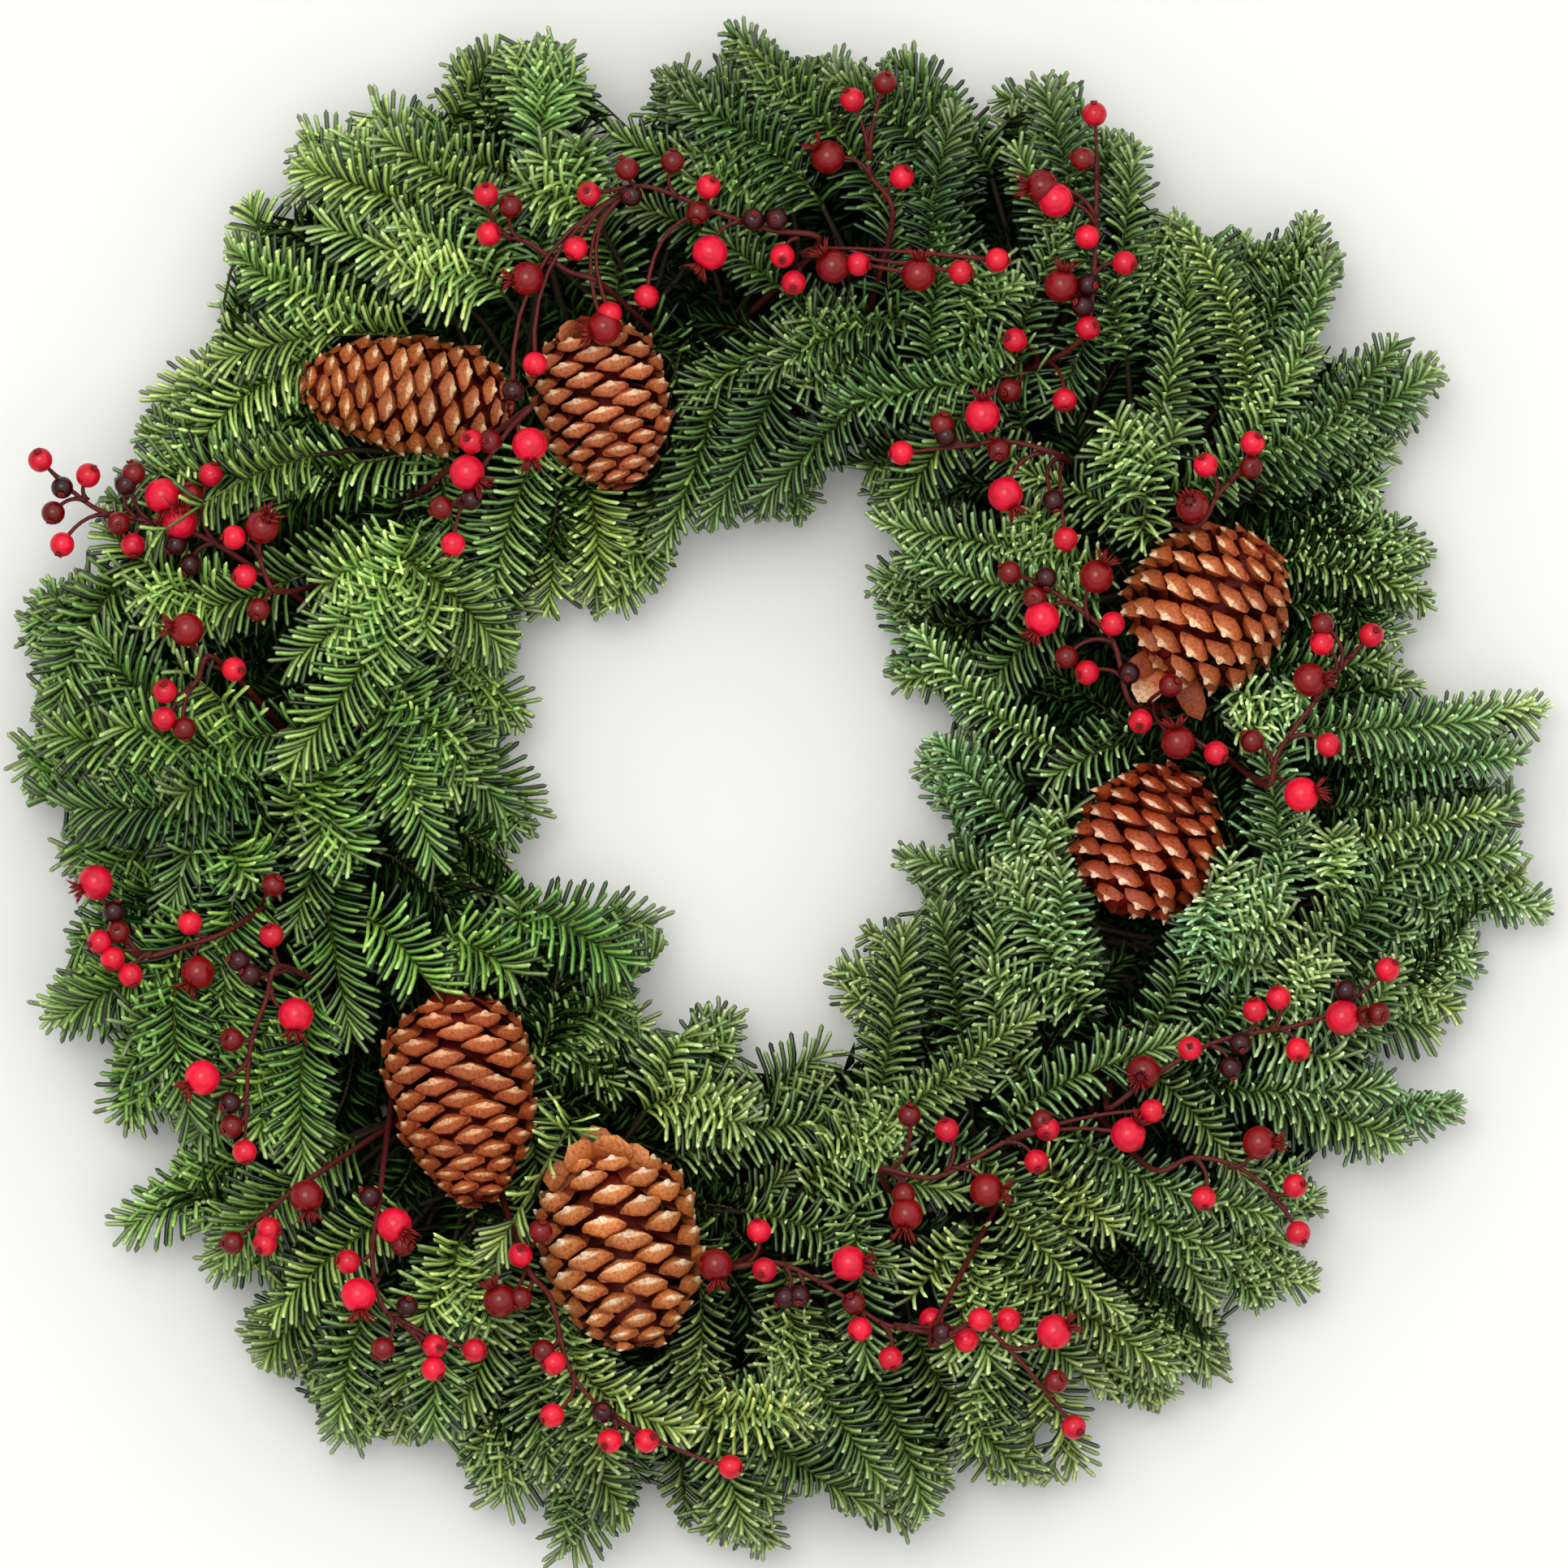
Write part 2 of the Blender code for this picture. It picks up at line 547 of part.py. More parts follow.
def read_berries(text):
    """Berries from their letters and places: (kind, pixel)."""
    found = []
    for word in text.split():
        x, y = word[1:].split(",")
        found.append((word[0], (int(x), int(y))))
    return found


def nearest_on(line, point):
    """The nearest point to this one on a line of points, kept off the line's corners."""
    best = (1e9, None)
    for start, end in zip(line[:-1], line[1:]):
        step = end - start
        part = np.clip((point - start) @ step / (step @ step), 0.05, 0.95)
        spot = start + part * step
        best = min(best, (float(np.linalg.norm(point - spot)), tuple(spot)))
    return np.array(best[1])


def berry_stem(stem_px, usual_z, placed):
    """A stem's line from its root on a bundle, past a knee over the root, bent clear of what is in place."""
    nearest = bunch_at(at(stem_px[0], 0))
    best = (-1.0, None)
    for lift in STEM_LIFTS:
        for bunch in (nearest, nearest + 1, nearest - 1):
            for shift in STEM_ROOT_SHIFTS:
                turn = bunch_angle(bunch) + shift / RING_RADIUS
                root = on_ring(turn, BUNDLE_TOP + SEAT_GAP)
                knee = root + (at(stem_px[0], 0) - on_ring(turn, 0)) * 0.25
                knee[2] += KNEE_HEIGHT
                stem = np.array([root, knee, *[at(px, usual_z + lift) for px in stem_px]])
                above_root = stem[0] + (stem[1] - stem[0]) * 0.2
                room = placed.room_along([above_root, *stem[1:]], BERRY_STEM_RADIUS)
                if room > STEM_ROOM:
                    return stem
                if room > best[0]:
                    best = (room, stem)
    return best[1]


def berry_place(pixel, radius, stem, name, placed):
    """Where a berry's stalk leaves the stem and the berry's centre, or None where it has no room."""
    for lift in BERRY_LIFTS:
        centre = at(pixel, stem[-1][2] + lift)
        foot = nearest_on(stem[1:], centre)
        berry_room = placed.room(centre, centre, radius, {name})
        if berry_room > BERRY_ROOM and placed.room(foot, centre, STALK_RADIUS, {name}) > BERRY_ROOM:
            return foot, centre
    return None


def berry_spray(letter, placed):
    """A forked stem whose root stands on a bundle of cut fir, with a stalk to each berry."""
    name = f"berry_spray_{letter}"
    stem_px, text = BERRY_SPRAYS[letter]
    usual = BERRY_SPRAY_Z.get(letter, BERRY_SPRAY_Z_USUAL)
    stem = berry_stem(stem_px, usual, placed)
    pieces = pieces_for(name)
    radii = np.linspace(1.15, 0.8, len(stem)) * BERRY_STEM_RADIUS
    tube(stem, radii, 4, pieces)
    placed.add(name, stem, BERRY_STEM_RADIUS)
    small = 0
    for kind, pixel in read_berries(text):
        if kind in "sdv":
            small += 1
            if small % SMALL_BERRY_EVERY != 1:
                continue
        radius = BERRY_RADII[kind]
        spot = berry_place(pixel, radius, stem, name, placed)
        if spot is None:
            continue
        foot, centre = spot
        berry = bmesh.new()
        bmesh.ops.create_icosphere(berry, subdivisions=1, radius=radius * BERRY_SWELL)
        mesh = bpy.data.meshes.new("berry")
        berry.to_mesh(mesh)
        berry.free()
        mesh.transform(Matrix.Translation(Vector(centre)) @ Matrix.Rotation(small + 1.3, 4, "X"))
        linked("berry", mesh, pieces)
        tube([foot, centre], STALK_RADIUS, 3, pieces)
        placed.add(name, centre, radius)
        placed.add(name, np.array([foot, centre]), STALK_RADIUS)
    joined(name, pieces, material("berry_red", (0.45, 0.01, 0.02), 0.25), "MANIFOLD")


def spray_path(layer, start_px, tip_px, placed):
    """A spray's line from a bundle to its tip, bent clear of what is in place, and its bunch."""
    base_z, tip_z = LAYER_Z[layer]
    bunch = bunch_at(at(start_px, 0))
    middle_angle = bunch_angle(bunch)
    wanted = math.atan2(*reversed(at(start_px, 0)[:2]))
    slots = [part * BUNDLE_LENGTH / RING_RADIUS for part in TWIG_SLOTS]
    slots.sort(key=lambda slot: abs((middle_angle + slot - wanted + math.pi) % (2 * math.pi) - math.pi))
    best = None
    for lift in TWIG_LIFTS:
        for slot in slots:
            root = on_ring(middle_angle + slot, BUNDLE_Z + 0.001)
            whole = curve_through(root, at(start_px, base_z + lift), at(tip_px, tip_z + lift))
            path = along(whole, np.linspace(0, path_length(whole) - NEEDLES_PAST_TWIG, 12))
            if path[:, 2].min() < LOWEST_TWIG:
                continue
            room = placed.room_along(path, TWIG_ROOT_RADIUS, {bunch_name(bunch)})
            if best is None or room > best[0]:
                best = (room, path)
            if room > TWIG_ROOM:
                return bunch, path
    return (bunch, best[1]) if best and best[0] > LEAST_TWIG_ROOM else (bunch, None)


def station_distances(layer, length):
    """Where needles stand along a spray, counted back from its tip."""
    count = min(MOST_STATIONS[layer], int((length - BARE_TWIG) / STATION_STEP))
    return [length - NEEDLE_BASE - STATION_STEP * back for back in range(count)]


def spray_points(path, stations):
    """Points for the spray's tube: two at each row of needles, and some on the bare stretch."""
    length = path_length(path)
    first = min(stations)
    bare = np.linspace(0, first, max(2, 1 + round(first / BARE_STEP)))[:-1]
    needled = [distance for station in stations for distance in (station, station + NEEDLE_BASE)]
    distances = np.array(sorted([*bare, *needled]))
    distances[-1] = length
    return along(path, distances), distances / length


def needle_direction(normal, axis, lean, lift):
    side = np.cross([0, 0, 1], axis)
    side = unit(side) if np.linalg.norm(side) > 1e-6 else np.array([1.0, 0, 0])
    upward = np.cross(axis, side)
    across = unit(side * (normal @ side) * 1.2 + upward * (normal @ upward) * 0.75)
    return unit(axis * math.cos(lean) + across * math.sin(lean) + np.array([0, 0, lift]))


def needle_faces(shape, path, stations):
    """The tube's side faces at its stations, and its end cap as station -1: (station, face, centre)."""
    middles = along(path, np.array(stations) + NEEDLE_BASE / 2)
    found = []
    for face in shape.faces:
        centre = np.array(face.calc_center_median())
        off = np.linalg.norm(middles - centre, axis=1)
        which = int(off.argmin())
        if len(face.verts) == 4 and off[which] < TWIG_ROOT_RADIUS * 0.75:
            found.append((which, face, centre))
        elif np.linalg.norm(centre - path[-1]) < NEEDLE_BASE / 4:
            found.append((-1, face, centre))
    return sorted(found, key=lambda item: item[0])


def needle_tries(which, normal, axis):
    """Directions and lengths to try for a needle: the usual one first, then turned and shorter ones."""
    if which < 0:
        return [(axis, BUD_LENGTH)]
    lean = TIP_NEEDLE_LEAN if which == 0 else NEEDLE_LEAN
    lean += RANDOM.uniform(-NEEDLE_JITTER, NEEDLE_JITTER)
    return [
        (needle_direction(normal, axis, lean + turn, lift), NEEDLE_LENGTH * size)
        for size in NEEDLE_SIZES
        for turn, lift in NEEDLE_TURNS
    ]


def grow_needles(twig, name, spray, path, stations, placed):
    """Raises the side faces at each station to needles, where they have room."""
    shape = bmesh.new()
    shape.from_mesh(twig.data)
    length = path_length(path)
    behind = along(path, np.array(stations))
    ahead = along(path, np.minimum(np.array(stations) + NEEDLE_BASE, length))
    for which, face, centre in needle_faces(shape, path, stations):
        axis = unit(ahead[which] - behind[which]) if which >= 0 else unit(path[-1] - path[-2])
        for direction, size in needle_tries(which, np.array(face.normal), axis):
            tip = centre + direction * size
            root = centre + direction * NEEDLE_RADIUS * 2.5
            if tip[2] > LOWEST_NEEDLE and placed.room(root, tip, NEEDLE_RADIUS, {spray}) > NEEDLE_ROOM:
                bmesh.ops.poke(shape, faces=[face])["verts"][0].co = tip
                placed.add(f"{name}_needles", np.array([root, tip]), NEEDLE_RADIUS)
                break
    shape.to_mesh(twig.data)
    shape.free()


def grow_sprays(placed):
    """Bends every spray clear, grows its needles and joins the sprays of each bunch to its bundle."""
    sprays = []
    for layer in ("outer", "inner", "front"):
        for start_px, tip_px in SPRAYS[layer]:
            bunch, path = spray_path(layer, start_px, tip_px, placed)
            if path is None:
                continue
            spray = f"{bunch_name(bunch)}_{len(sprays)}"
            stations = station_distances(layer, path_length(path))
            points, parts = spray_points(path, stations)
            sprays.append((bunch, spray, path, stations, points, parts))
            placed.add(bunch_name(bunch), points[:2], TWIG_ROOT_RADIUS)
            placed.add(spray, points[1:], TWIG_ROOT_RADIUS)
    for index in range(BUNCHES):
        pieces = pieces_for(bunch_name(index))
        bundle = tube(bundle_line(index), BUNDLE_RADIUS, 6, pieces)
        bundle.name = "a_bundle"
        for bunch, spray, path, stations, points, parts in sprays:
            if bunch != index:
                continue
            radii = TWIG_ROOT_RADIUS + (TWIG_TIP_RADIUS - TWIG_ROOT_RADIUS) * parts
            twig = tube(points, radii, 3, pieces)
            grow_needles(twig, bunch_name(index), spray, path, stations, placed)
        joined(bunch_name(index), pieces, green_at(bunch_angle(index)))


def green_at(angle):
    """Light green on the left, dark at the top, blue-green on the right and mid green below."""
    turn = math.degrees(angle) % 360
    if 125 <= turn < 235:
        name = "light"
    elif 45 <= turn < 125:
        name = "dark"
    elif turn < 45 or turn >= 300:
        name = "blue"
    else:
        name = "mid"
    return material(f"fir_{name}", GREENS[name], 0.5)


def centre_on_origin():
    """Moves all of the wreath together, so that the middle of its outline is over the origin."""
    corners = np.vstack([[vertex.co for vertex in piece.data.vertices] for piece in WREATH.objects])
    middle = (corners.min(axis=0) + corners.max(axis=0)) / 2
    for piece in WREATH.objects:
        piece.data.transform(Matrix.Translation((-middle[0], -middle[1], -corners[:, 2].min())))


for leftover in list(bpy.data.objects):
    bpy.data.objects.remove(leftover)
WREATH = bpy.data.collections.new("winter_berry_wreath")
HELPERS = bpy.data.collections.new("helpers")
bpy.context.scene.collection.children.link(WREATH)
bpy.context.scene.collection.children.link(HELPERS)
SECTIONS = {sides: section(sides) for sides in (3, 4, 6)}


def main():
    placed = Placed()
    wire_frame(placed)
    for index, cone in enumerate(CONES):
        pine_cone(index, cone, placed)
    for index, cone in enumerate(CONES):
        cone_wire(index, cone, placed)
    for index in range(BUNCHES):
        placed.add(bunch_name(index), bundle_line(index), BUNDLE_RADIUS)
    for letter in BERRY_SPRAYS:
        berry_spray(letter, placed)
    grow_sprays(placed)
    centre_on_origin()
    for helper in list(HELPERS.objects):
        bpy.data.objects.remove(helper)


main()
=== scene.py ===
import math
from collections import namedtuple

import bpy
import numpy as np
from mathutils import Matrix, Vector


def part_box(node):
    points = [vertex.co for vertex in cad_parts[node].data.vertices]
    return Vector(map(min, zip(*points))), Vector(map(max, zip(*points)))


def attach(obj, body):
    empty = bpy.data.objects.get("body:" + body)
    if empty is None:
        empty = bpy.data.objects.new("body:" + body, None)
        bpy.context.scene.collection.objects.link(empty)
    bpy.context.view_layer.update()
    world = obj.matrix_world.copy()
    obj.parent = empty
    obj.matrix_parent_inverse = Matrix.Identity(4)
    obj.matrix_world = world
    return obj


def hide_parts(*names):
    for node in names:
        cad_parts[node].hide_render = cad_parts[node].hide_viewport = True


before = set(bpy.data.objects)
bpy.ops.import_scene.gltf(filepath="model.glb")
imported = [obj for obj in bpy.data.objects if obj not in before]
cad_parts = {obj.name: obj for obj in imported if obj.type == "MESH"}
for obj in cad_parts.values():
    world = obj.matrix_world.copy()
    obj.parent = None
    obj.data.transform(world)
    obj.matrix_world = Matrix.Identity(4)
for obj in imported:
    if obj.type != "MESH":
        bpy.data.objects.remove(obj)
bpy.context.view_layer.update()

# Winter berry wreath, dressed: fine fir shoots, pine cones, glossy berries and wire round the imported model.
#
# Places in the plane of the wreath are pixels of the photograph, scaled so that the wire ring has its real
# radius, and heights are metres above the surface that the wreath lies on. The ring's middle is the origin
# while things are laid out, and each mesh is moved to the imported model's frame when it is made. The lines of
# the stems and sprays are found again with the same search as in the solids, so that each fine piece lies
# where its solid is. The shoots that fill the wreath between them are then placed by a seeded rule.

RING_LOW, RING_HIGH = (np.array(corner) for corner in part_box("wire_frame"))
TO_MODEL = np.array([*((RING_LOW + RING_HIGH) / 2)[:2], 0.0])

# Driving dimensions of the wreath, in metres
RING_RADIUS = 0.203
RAIL_OFFSET = 0.009
RAIL_RADIUS = 0.0018
CLAMP_WIRE = 0.0013
CLAMP_REACH = 0.0105
CLAMP_HALF_GAP = 0.003
BUNDLE_RADIUS = 0.005
BUNDLE_LENGTH = 0.047
TWIG_ROOT_RADIUS = 0.0020
TWIG_TIP_RADIUS = 0.0011
NEEDLES_PAST_TWIG = 0.017
BERRY_RADII = {"B": 0.0079, "D": 0.0076, "s": 0.0055, "d": 0.0053, "v": 0.0050}
BERRY_STEM_RADIUS = 0.0011
STALK_RADIUS = 0.0008
SCALE_RISE = 0.0062
KNEE_HEIGHT = 0.02
STUB_RADIUS = 0.0045
STUB_LENGTH = 0.007
CONE_WIRE = 0.0007
SEAT_GAP = 0.0003
WELD_SINK = 0.0004

# The least clear distances between pieces, in metres
BERRY_ROOM = 0.0006
STEM_ROOM = 0.002
TWIG_ROOM = 0.0035
LEAST_TWIG_ROOM = 0.0008
CLAMP_SPACE = 0.006

# The rows, steps and counts of the solids, which the search for each line depends on
BUNCHES = 22
NEEDLE_BASE = 0.0027
STATION_STEP = 0.019
BARE_TWIG = 0.02
BARE_STEP = 0.035
MOST_STATIONS = {"outer": 5, "inner": 4, "front": 4}
RAIL_STEPS = 28
CONE_ROWS = 10
SMALL_BERRY_EVERY = 5
CONE_RODS = 20
CONE_ROD_RADIUS = 0.005
CURVE_POINTS = 24
SPRAY_POINTS = 12
LOOP_STEP = 50
LOOP_POINTS = 7

# Heights above the surface that the wreath lies on
RAIL_Z = RAIL_RADIUS * math.sin(math.pi / 3)
CROSS_WIRE_Z = 2 * RAIL_Z + 0.5 * CLAMP_WIRE - WELD_SINK
BUNDLE_Z = CROSS_WIRE_Z + CLAMP_WIRE + SEAT_GAP + BUNDLE_RADIUS
BUNDLE_TOP = BUNDLE_Z + BUNDLE_RADIUS
TWIG_ROOT_Z = BUNDLE_Z + 0.001
CLAMP_BEND_Z = BUNDLE_Z + 0.001
LAYER_Z = {"outer": (0.027, 0.021), "inner": (0.025, 0.024), "front": (0.049, 0.063)}
CONE_SEAT_Z = 0.0215
CONE_TILT = 0.006
WIRE_KNEE_Z = 0.013
LOWEST_TWIG = 0.009
LOWEST_POINT = 0.0008

# What is tried in turn until a piece has room: lifts in metres, and places on a bundle as shares of it
STEM_LIFTS = (0, 0.006, 0.012, 0.018, -0.006)
STEM_ROOT_SHIFTS = (0.010, -0.010, 0.017, -0.017)
# How far a stem's knee leans from over its root toward the first place of the stem, and where the room round
# the stem is measured from, both as shares
KNEE_LEAN = 0.25
MEASURED_FROM = 0.2
BERRY_LIFTS = (0.004, -0.004, 0.010, 0.016, -0.010, 0.022, 0.028, 0.034)
TWIG_LIFTS = (0, 0.006, -0.006, 0.012, 0.018, 0.024, -0.010, 0.030)
TWIG_SLOTS = (-0.40, -0.28, -0.16, 0.16, 0.28, 0.40)

# The photograph's frame: its side, the ring's centre and the ring's radius, in its pixels
PHOTO_PX = 1932
RING_CENTRE_PX = (930, 970)
RING_RADIUS_PX = 564
METRES_PER_PX = RING_RADIUS / RING_RADIUS_PX

# Fir sprays as (where the spray starts to show, its tip)
SPRAYS = {
    "outer": [
        ((962, 147), (904, 30)), ((855, 150), (829, 80)), ((1052, 130), (1007, 66)),
        ((1163, 160), (1101, 62)), ((1290, 214), (1283, 98)), ((1379, 224), (1410, 165)),
        ((1540, 384), (1518, 277)), ((1524, 469), (1618, 259)), ((1571, 527), (1781, 446)),
        ((1589, 590), (1736, 549)), ((1634, 668), (1768, 685)), ((1634, 740), (1765, 745)),
        ((1660, 912), (1908, 863)), ((1690, 993), (1873, 979)), ((1728, 1069), (1918, 1131)),
        ((1678, 1127), (1833, 1200)), ((1611, 1379), (1810, 1357)), ((1544, 1455), (1640, 1486)),
        ((1464, 1518), (1632, 1571)), ((1424, 1564), (1500, 1708)), ((1379, 1634), (1446, 1734)),
        ((1299, 1723), (1335, 1824)), ((1069, 1745), (1145, 1873)), ((888, 1806), (960, 1917)),
        ((747, 1790), (694, 1926)), ((661, 1745), (607, 1868)), ((460, 1656), (424, 1784)),
        ((402, 1589), (304, 1654)), ((277, 1446), (140, 1520)), ((335, 1522), (252, 1562)),
        ((190, 1312), (149, 1388)), ((167, 1212), (51, 1252)), ((167, 1042), (73, 1055)),
        ((129, 939), (16, 930)), ((127, 765), (24, 778)), ((357, 455), (180, 506)),
        ((353, 513), (176, 558)), ((357, 357), (270, 393)), ((363, 329), (292, 243)),
        ((447, 215), (364, 167)), ((530, 205), (446, 127)), ((620, 136), (551, 69)),
        ((670, 132), (692, 48)), ((1500, 340), (1475, 235)), ((1210, 1770), (1240, 1850)),
        ((150, 870), (42, 863)), ((1690, 1250), (1795, 1268)),
    ],
    "inner": [
        ((960, 560), (1005, 638)), ((800, 640), (742, 766)), ((545, 716), (612, 830)),
        ((560, 840), (652, 880)), ((560, 930), (662, 1018)), ((520, 1070), (600, 1098)),
        ((640, 1140), (818, 1145)), ((859, 1309), (906, 1243)), ((939, 1358), (1035, 1292)),
        ((1120, 1230), (1024, 1192)), ((1200, 1090), (1103, 1050)), ((1220, 960), (1120, 935)),
        ((1150, 700), (1062, 715)), ((1190, 820), (1088, 840)), ((1140, 560), (1064, 618)),
        ((700, 1260), (800, 1280)),
    ],
    "front": [
        ((598, 339), (478, 272)), ((491, 628), (350, 670)), ((504, 680), (388, 792)),
        ((250, 729), (156, 734)), ((473, 908), (580, 979)), ((397, 957), (388, 1073)),
        ((312, 912), (125, 979)), ((282, 1046), (325, 1095)), ((625, 1180), (540, 1200)),
        ((1410, 640), (1405, 500)), ((1330, 700), (1225, 640)), ((1570, 880), (1500, 880)),
        ((1486, 1176), (1560, 1060)), ((1652, 1091), (1647, 1015)), ((1299, 1091), (1294, 979)),
        ((1320, 1225), (1240, 1050)), ((823, 1352), (939, 1361)), ((703, 1384), (600, 1560)),
        ((1029, 1397), (1131, 1402)), ((886, 1745), (1011, 1732)), ((707, 1676), (863, 1768)),
        ((348, 1299), (321, 1420)), ((560, 1560), (598, 1655)), ((1060, 440), (950, 420)),
        ((960, 230), (820, 190)), ((1180, 420), (1270, 330)), ((1460, 360), (1390, 280)),
        ((1300, 1450), (1390, 1530)), ((1200, 1540), (1160, 1700)), ((1560, 1260), (1650, 1160)),
        ((720, 250), (650, 180)), ((1010, 1640), (930, 1690)), ((250, 1240), (190, 1330)),
    ],
}

# Pine cones as (base, tip, widest radius in pixels, where along the cone it is widest)
CONES = [
    ((612, 499), (372, 469), 72, 0.40),
    ((722, 412), (768, 600), 82, 0.42),
    ((1432, 806), (1562, 672), 96, 0.42),
    ((1380, 1104), (1462, 950), 84, 0.42),
    ((556, 1246), (590, 1484), 92, 0.28),
    ((742, 1436), (792, 1660), 98, 0.42),
]

# Berry sprays as (points of the stem, berries). A berry is a letter for its size and colour and its
# place: B is large and bright, D large and dark red, s small and bright, d small and dark red,
# v small and nearly black.
BERRY_SPRAYS = {
    "a": ([(740, 350), (700, 335), (650, 300), (603, 290)],
          "s600,241 d630,256 s603,290 D650,345"),
    "b": ([(1010, 300), (950, 285), (880, 262), (800, 232), (740, 238)],
          "s726,241 d773,210 v778,243 d829,201 s873,232 d860,264 B875,313 v928,272 v957,272"),
    "c": ([(1100, 265), (1072, 215), (1068, 160)],
          "s1050,124 d1090,103 D1020,195 s1111,219"),
    "d": ([(1330, 420), (1348, 330), (1350, 260), (1352, 190)],
          "s1348,142 d1333,197 B1300,248 s1339,293 D1307,353 v1340,352 s1385,325"),
    "e": ([(1300, 560), (1240, 545), (1170, 552)],
          "B1210,513 d1160,524 v1165,538 s1110,559 d1230,556 B1238,610 v1297,618 s1312,665"),
    "f": ([(1470, 650), (1500, 610), (1530, 580)],
          "s1542,547 d1540,577 s1484,574 D1468,625"),
    "g": ([(1395, 870), (1370, 790), (1320, 745), (1265, 712)],
          "d1243,706 v1288,713 d1274,737 B1283,763 s1370,769 d1313,810 s1338,829 D1350,711 v1390,830"),
    "h": ([(1560, 968), (1575, 925), (1630, 850), (1672, 798)],
          "d1628,770 s1627,793 D1612,838 s1688,783 d1541,913 s1635,918 B1602,979"),
    "i": ([(1365, 1365), (1420, 1325), (1500, 1282), (1600, 1262), (1670, 1235)],
          "s1708,1194 v1657,1220 B1653,1253 d1697,1249 s1574,1229 s1545,1244 s1598,1293"
          " v1527,1285 v1515,1315 s1465,1291 D1408,1320"),
    "j": ([(1085, 1440), (1150, 1450), (1230, 1410), (1280, 1385)],
          "B1389,1397 s1290,1390 s1276,1430 D1215,1465 s1166,1391 d1120,1373 d1113,1470"),
    "k": ([(1420, 1440), (1470, 1425), (1530, 1440), (1585, 1490)],
          "D1550,1407 s1594,1460 s1598,1518 s1482,1475"),
    "l": ([(900, 1560), (960, 1555), (1030, 1590), (1085, 1628), (1140, 1640)],
          "D882,1557 s935,1515 s942,1563 v967,1597 v985,1595 B1046,1555 d1052,1604 s1059,1636 s1097,1672"),
    "m": ([(650, 1560), (680, 1600), (700, 1680), (735, 1728), (785, 1765)],
          "d667,1515 s642,1545 D617,1601 d670,1663 s683,1677 s681,1742 v743,1738 s752,1773 s797,1773"),
    "n": ([(468, 1480), (460, 1550), (475, 1612), (520, 1645)],
          "v457,1473 B487,1508 s430,1553 B443,1594 v503,1608 d473,1660 s537,1657 s586,1662"),
    "o": ([(385, 1450), (345, 1480), (320, 1500)],
          "d288,1530 s328,1531 s333,1513 D379,1473"),
    "p": ([(345, 1190), (330, 1230), (310, 1290), (304, 1385)],
          "B366,1250 s336,1152 v296,1183 v310,1200 d287,1280 B251,1327 v285,1358 d287,1387 s303,1418"),
    "q": ([(285, 1145), (230, 1165), (175, 1178), (145, 1150)],
          "B119,1087 v141,1123 d147,1148 s124,1160 s140,1181 s162,1201 D245,1198 d338,1090"),
    "r": ([(262, 668), (200, 645), (130, 632), (90, 606), (64, 582)],
          "s50,567 v77,601 d66,632 s77,671 s109,586 d165,583 B200,611 d146,645 s164,672 B222,643 v235,696"),
    "s": ([(345, 730), (325, 700), (318, 670)],
          "D325,650 s290,663 s303,711 d320,752"),
    "t": ([(265, 810), (245, 838), (222, 862)],
          "D232,776 s205,852 s204,886 d229,898 s290,825"),
    "u": ([(650, 506), (628, 532), (602, 568), (564, 624)],
          "s583,546 B654,550 B577,584 d545,627 v582,617 s560,672"),
    "w": ([(1145, 1650), (1200, 1628), (1250, 1668), (1308, 1738)],
          "v1160,1640 s1207,1624 B1298,1639 d1300,1700 s1322,1756"),
}
BERRY_SPRAY_Z = {"r": 0.052, "c": 0.064, "d": 0.066, "q": 0.066, "i": 0.072}
BERRY_SPRAY_Z_USUAL = 0.078
# Berries that peep out between the others, on stalks of the same sprays
MORE_BERRIES = {
    "b": "s964,317 D1026,330 D1131,340 D745,405 s1057,327 s1183,337 s1228,322 s752,388 s660,450"
         " v633,483 s978,350 s710,308 s797,367",
    "d": "D1283,231 v1333,378 s1340,405 s1250,420 d1243,482 s1311,494",
    "g": "d1441,845 s1404,889 s1497,928 D1450,915",
    "j": "s1418,1368 d1283,1380 D1116,1495",
    "l": "s1190,1650 s1147,1625 s1242,1625",
    "m": "d642,1598 s900,1805",
    "n": "d497,1532 s535,1685",
    "q": "s235,1137",
    "r": "v155,597 d235,610 s260,585 v217,671",
    "u": "d605,546",
}

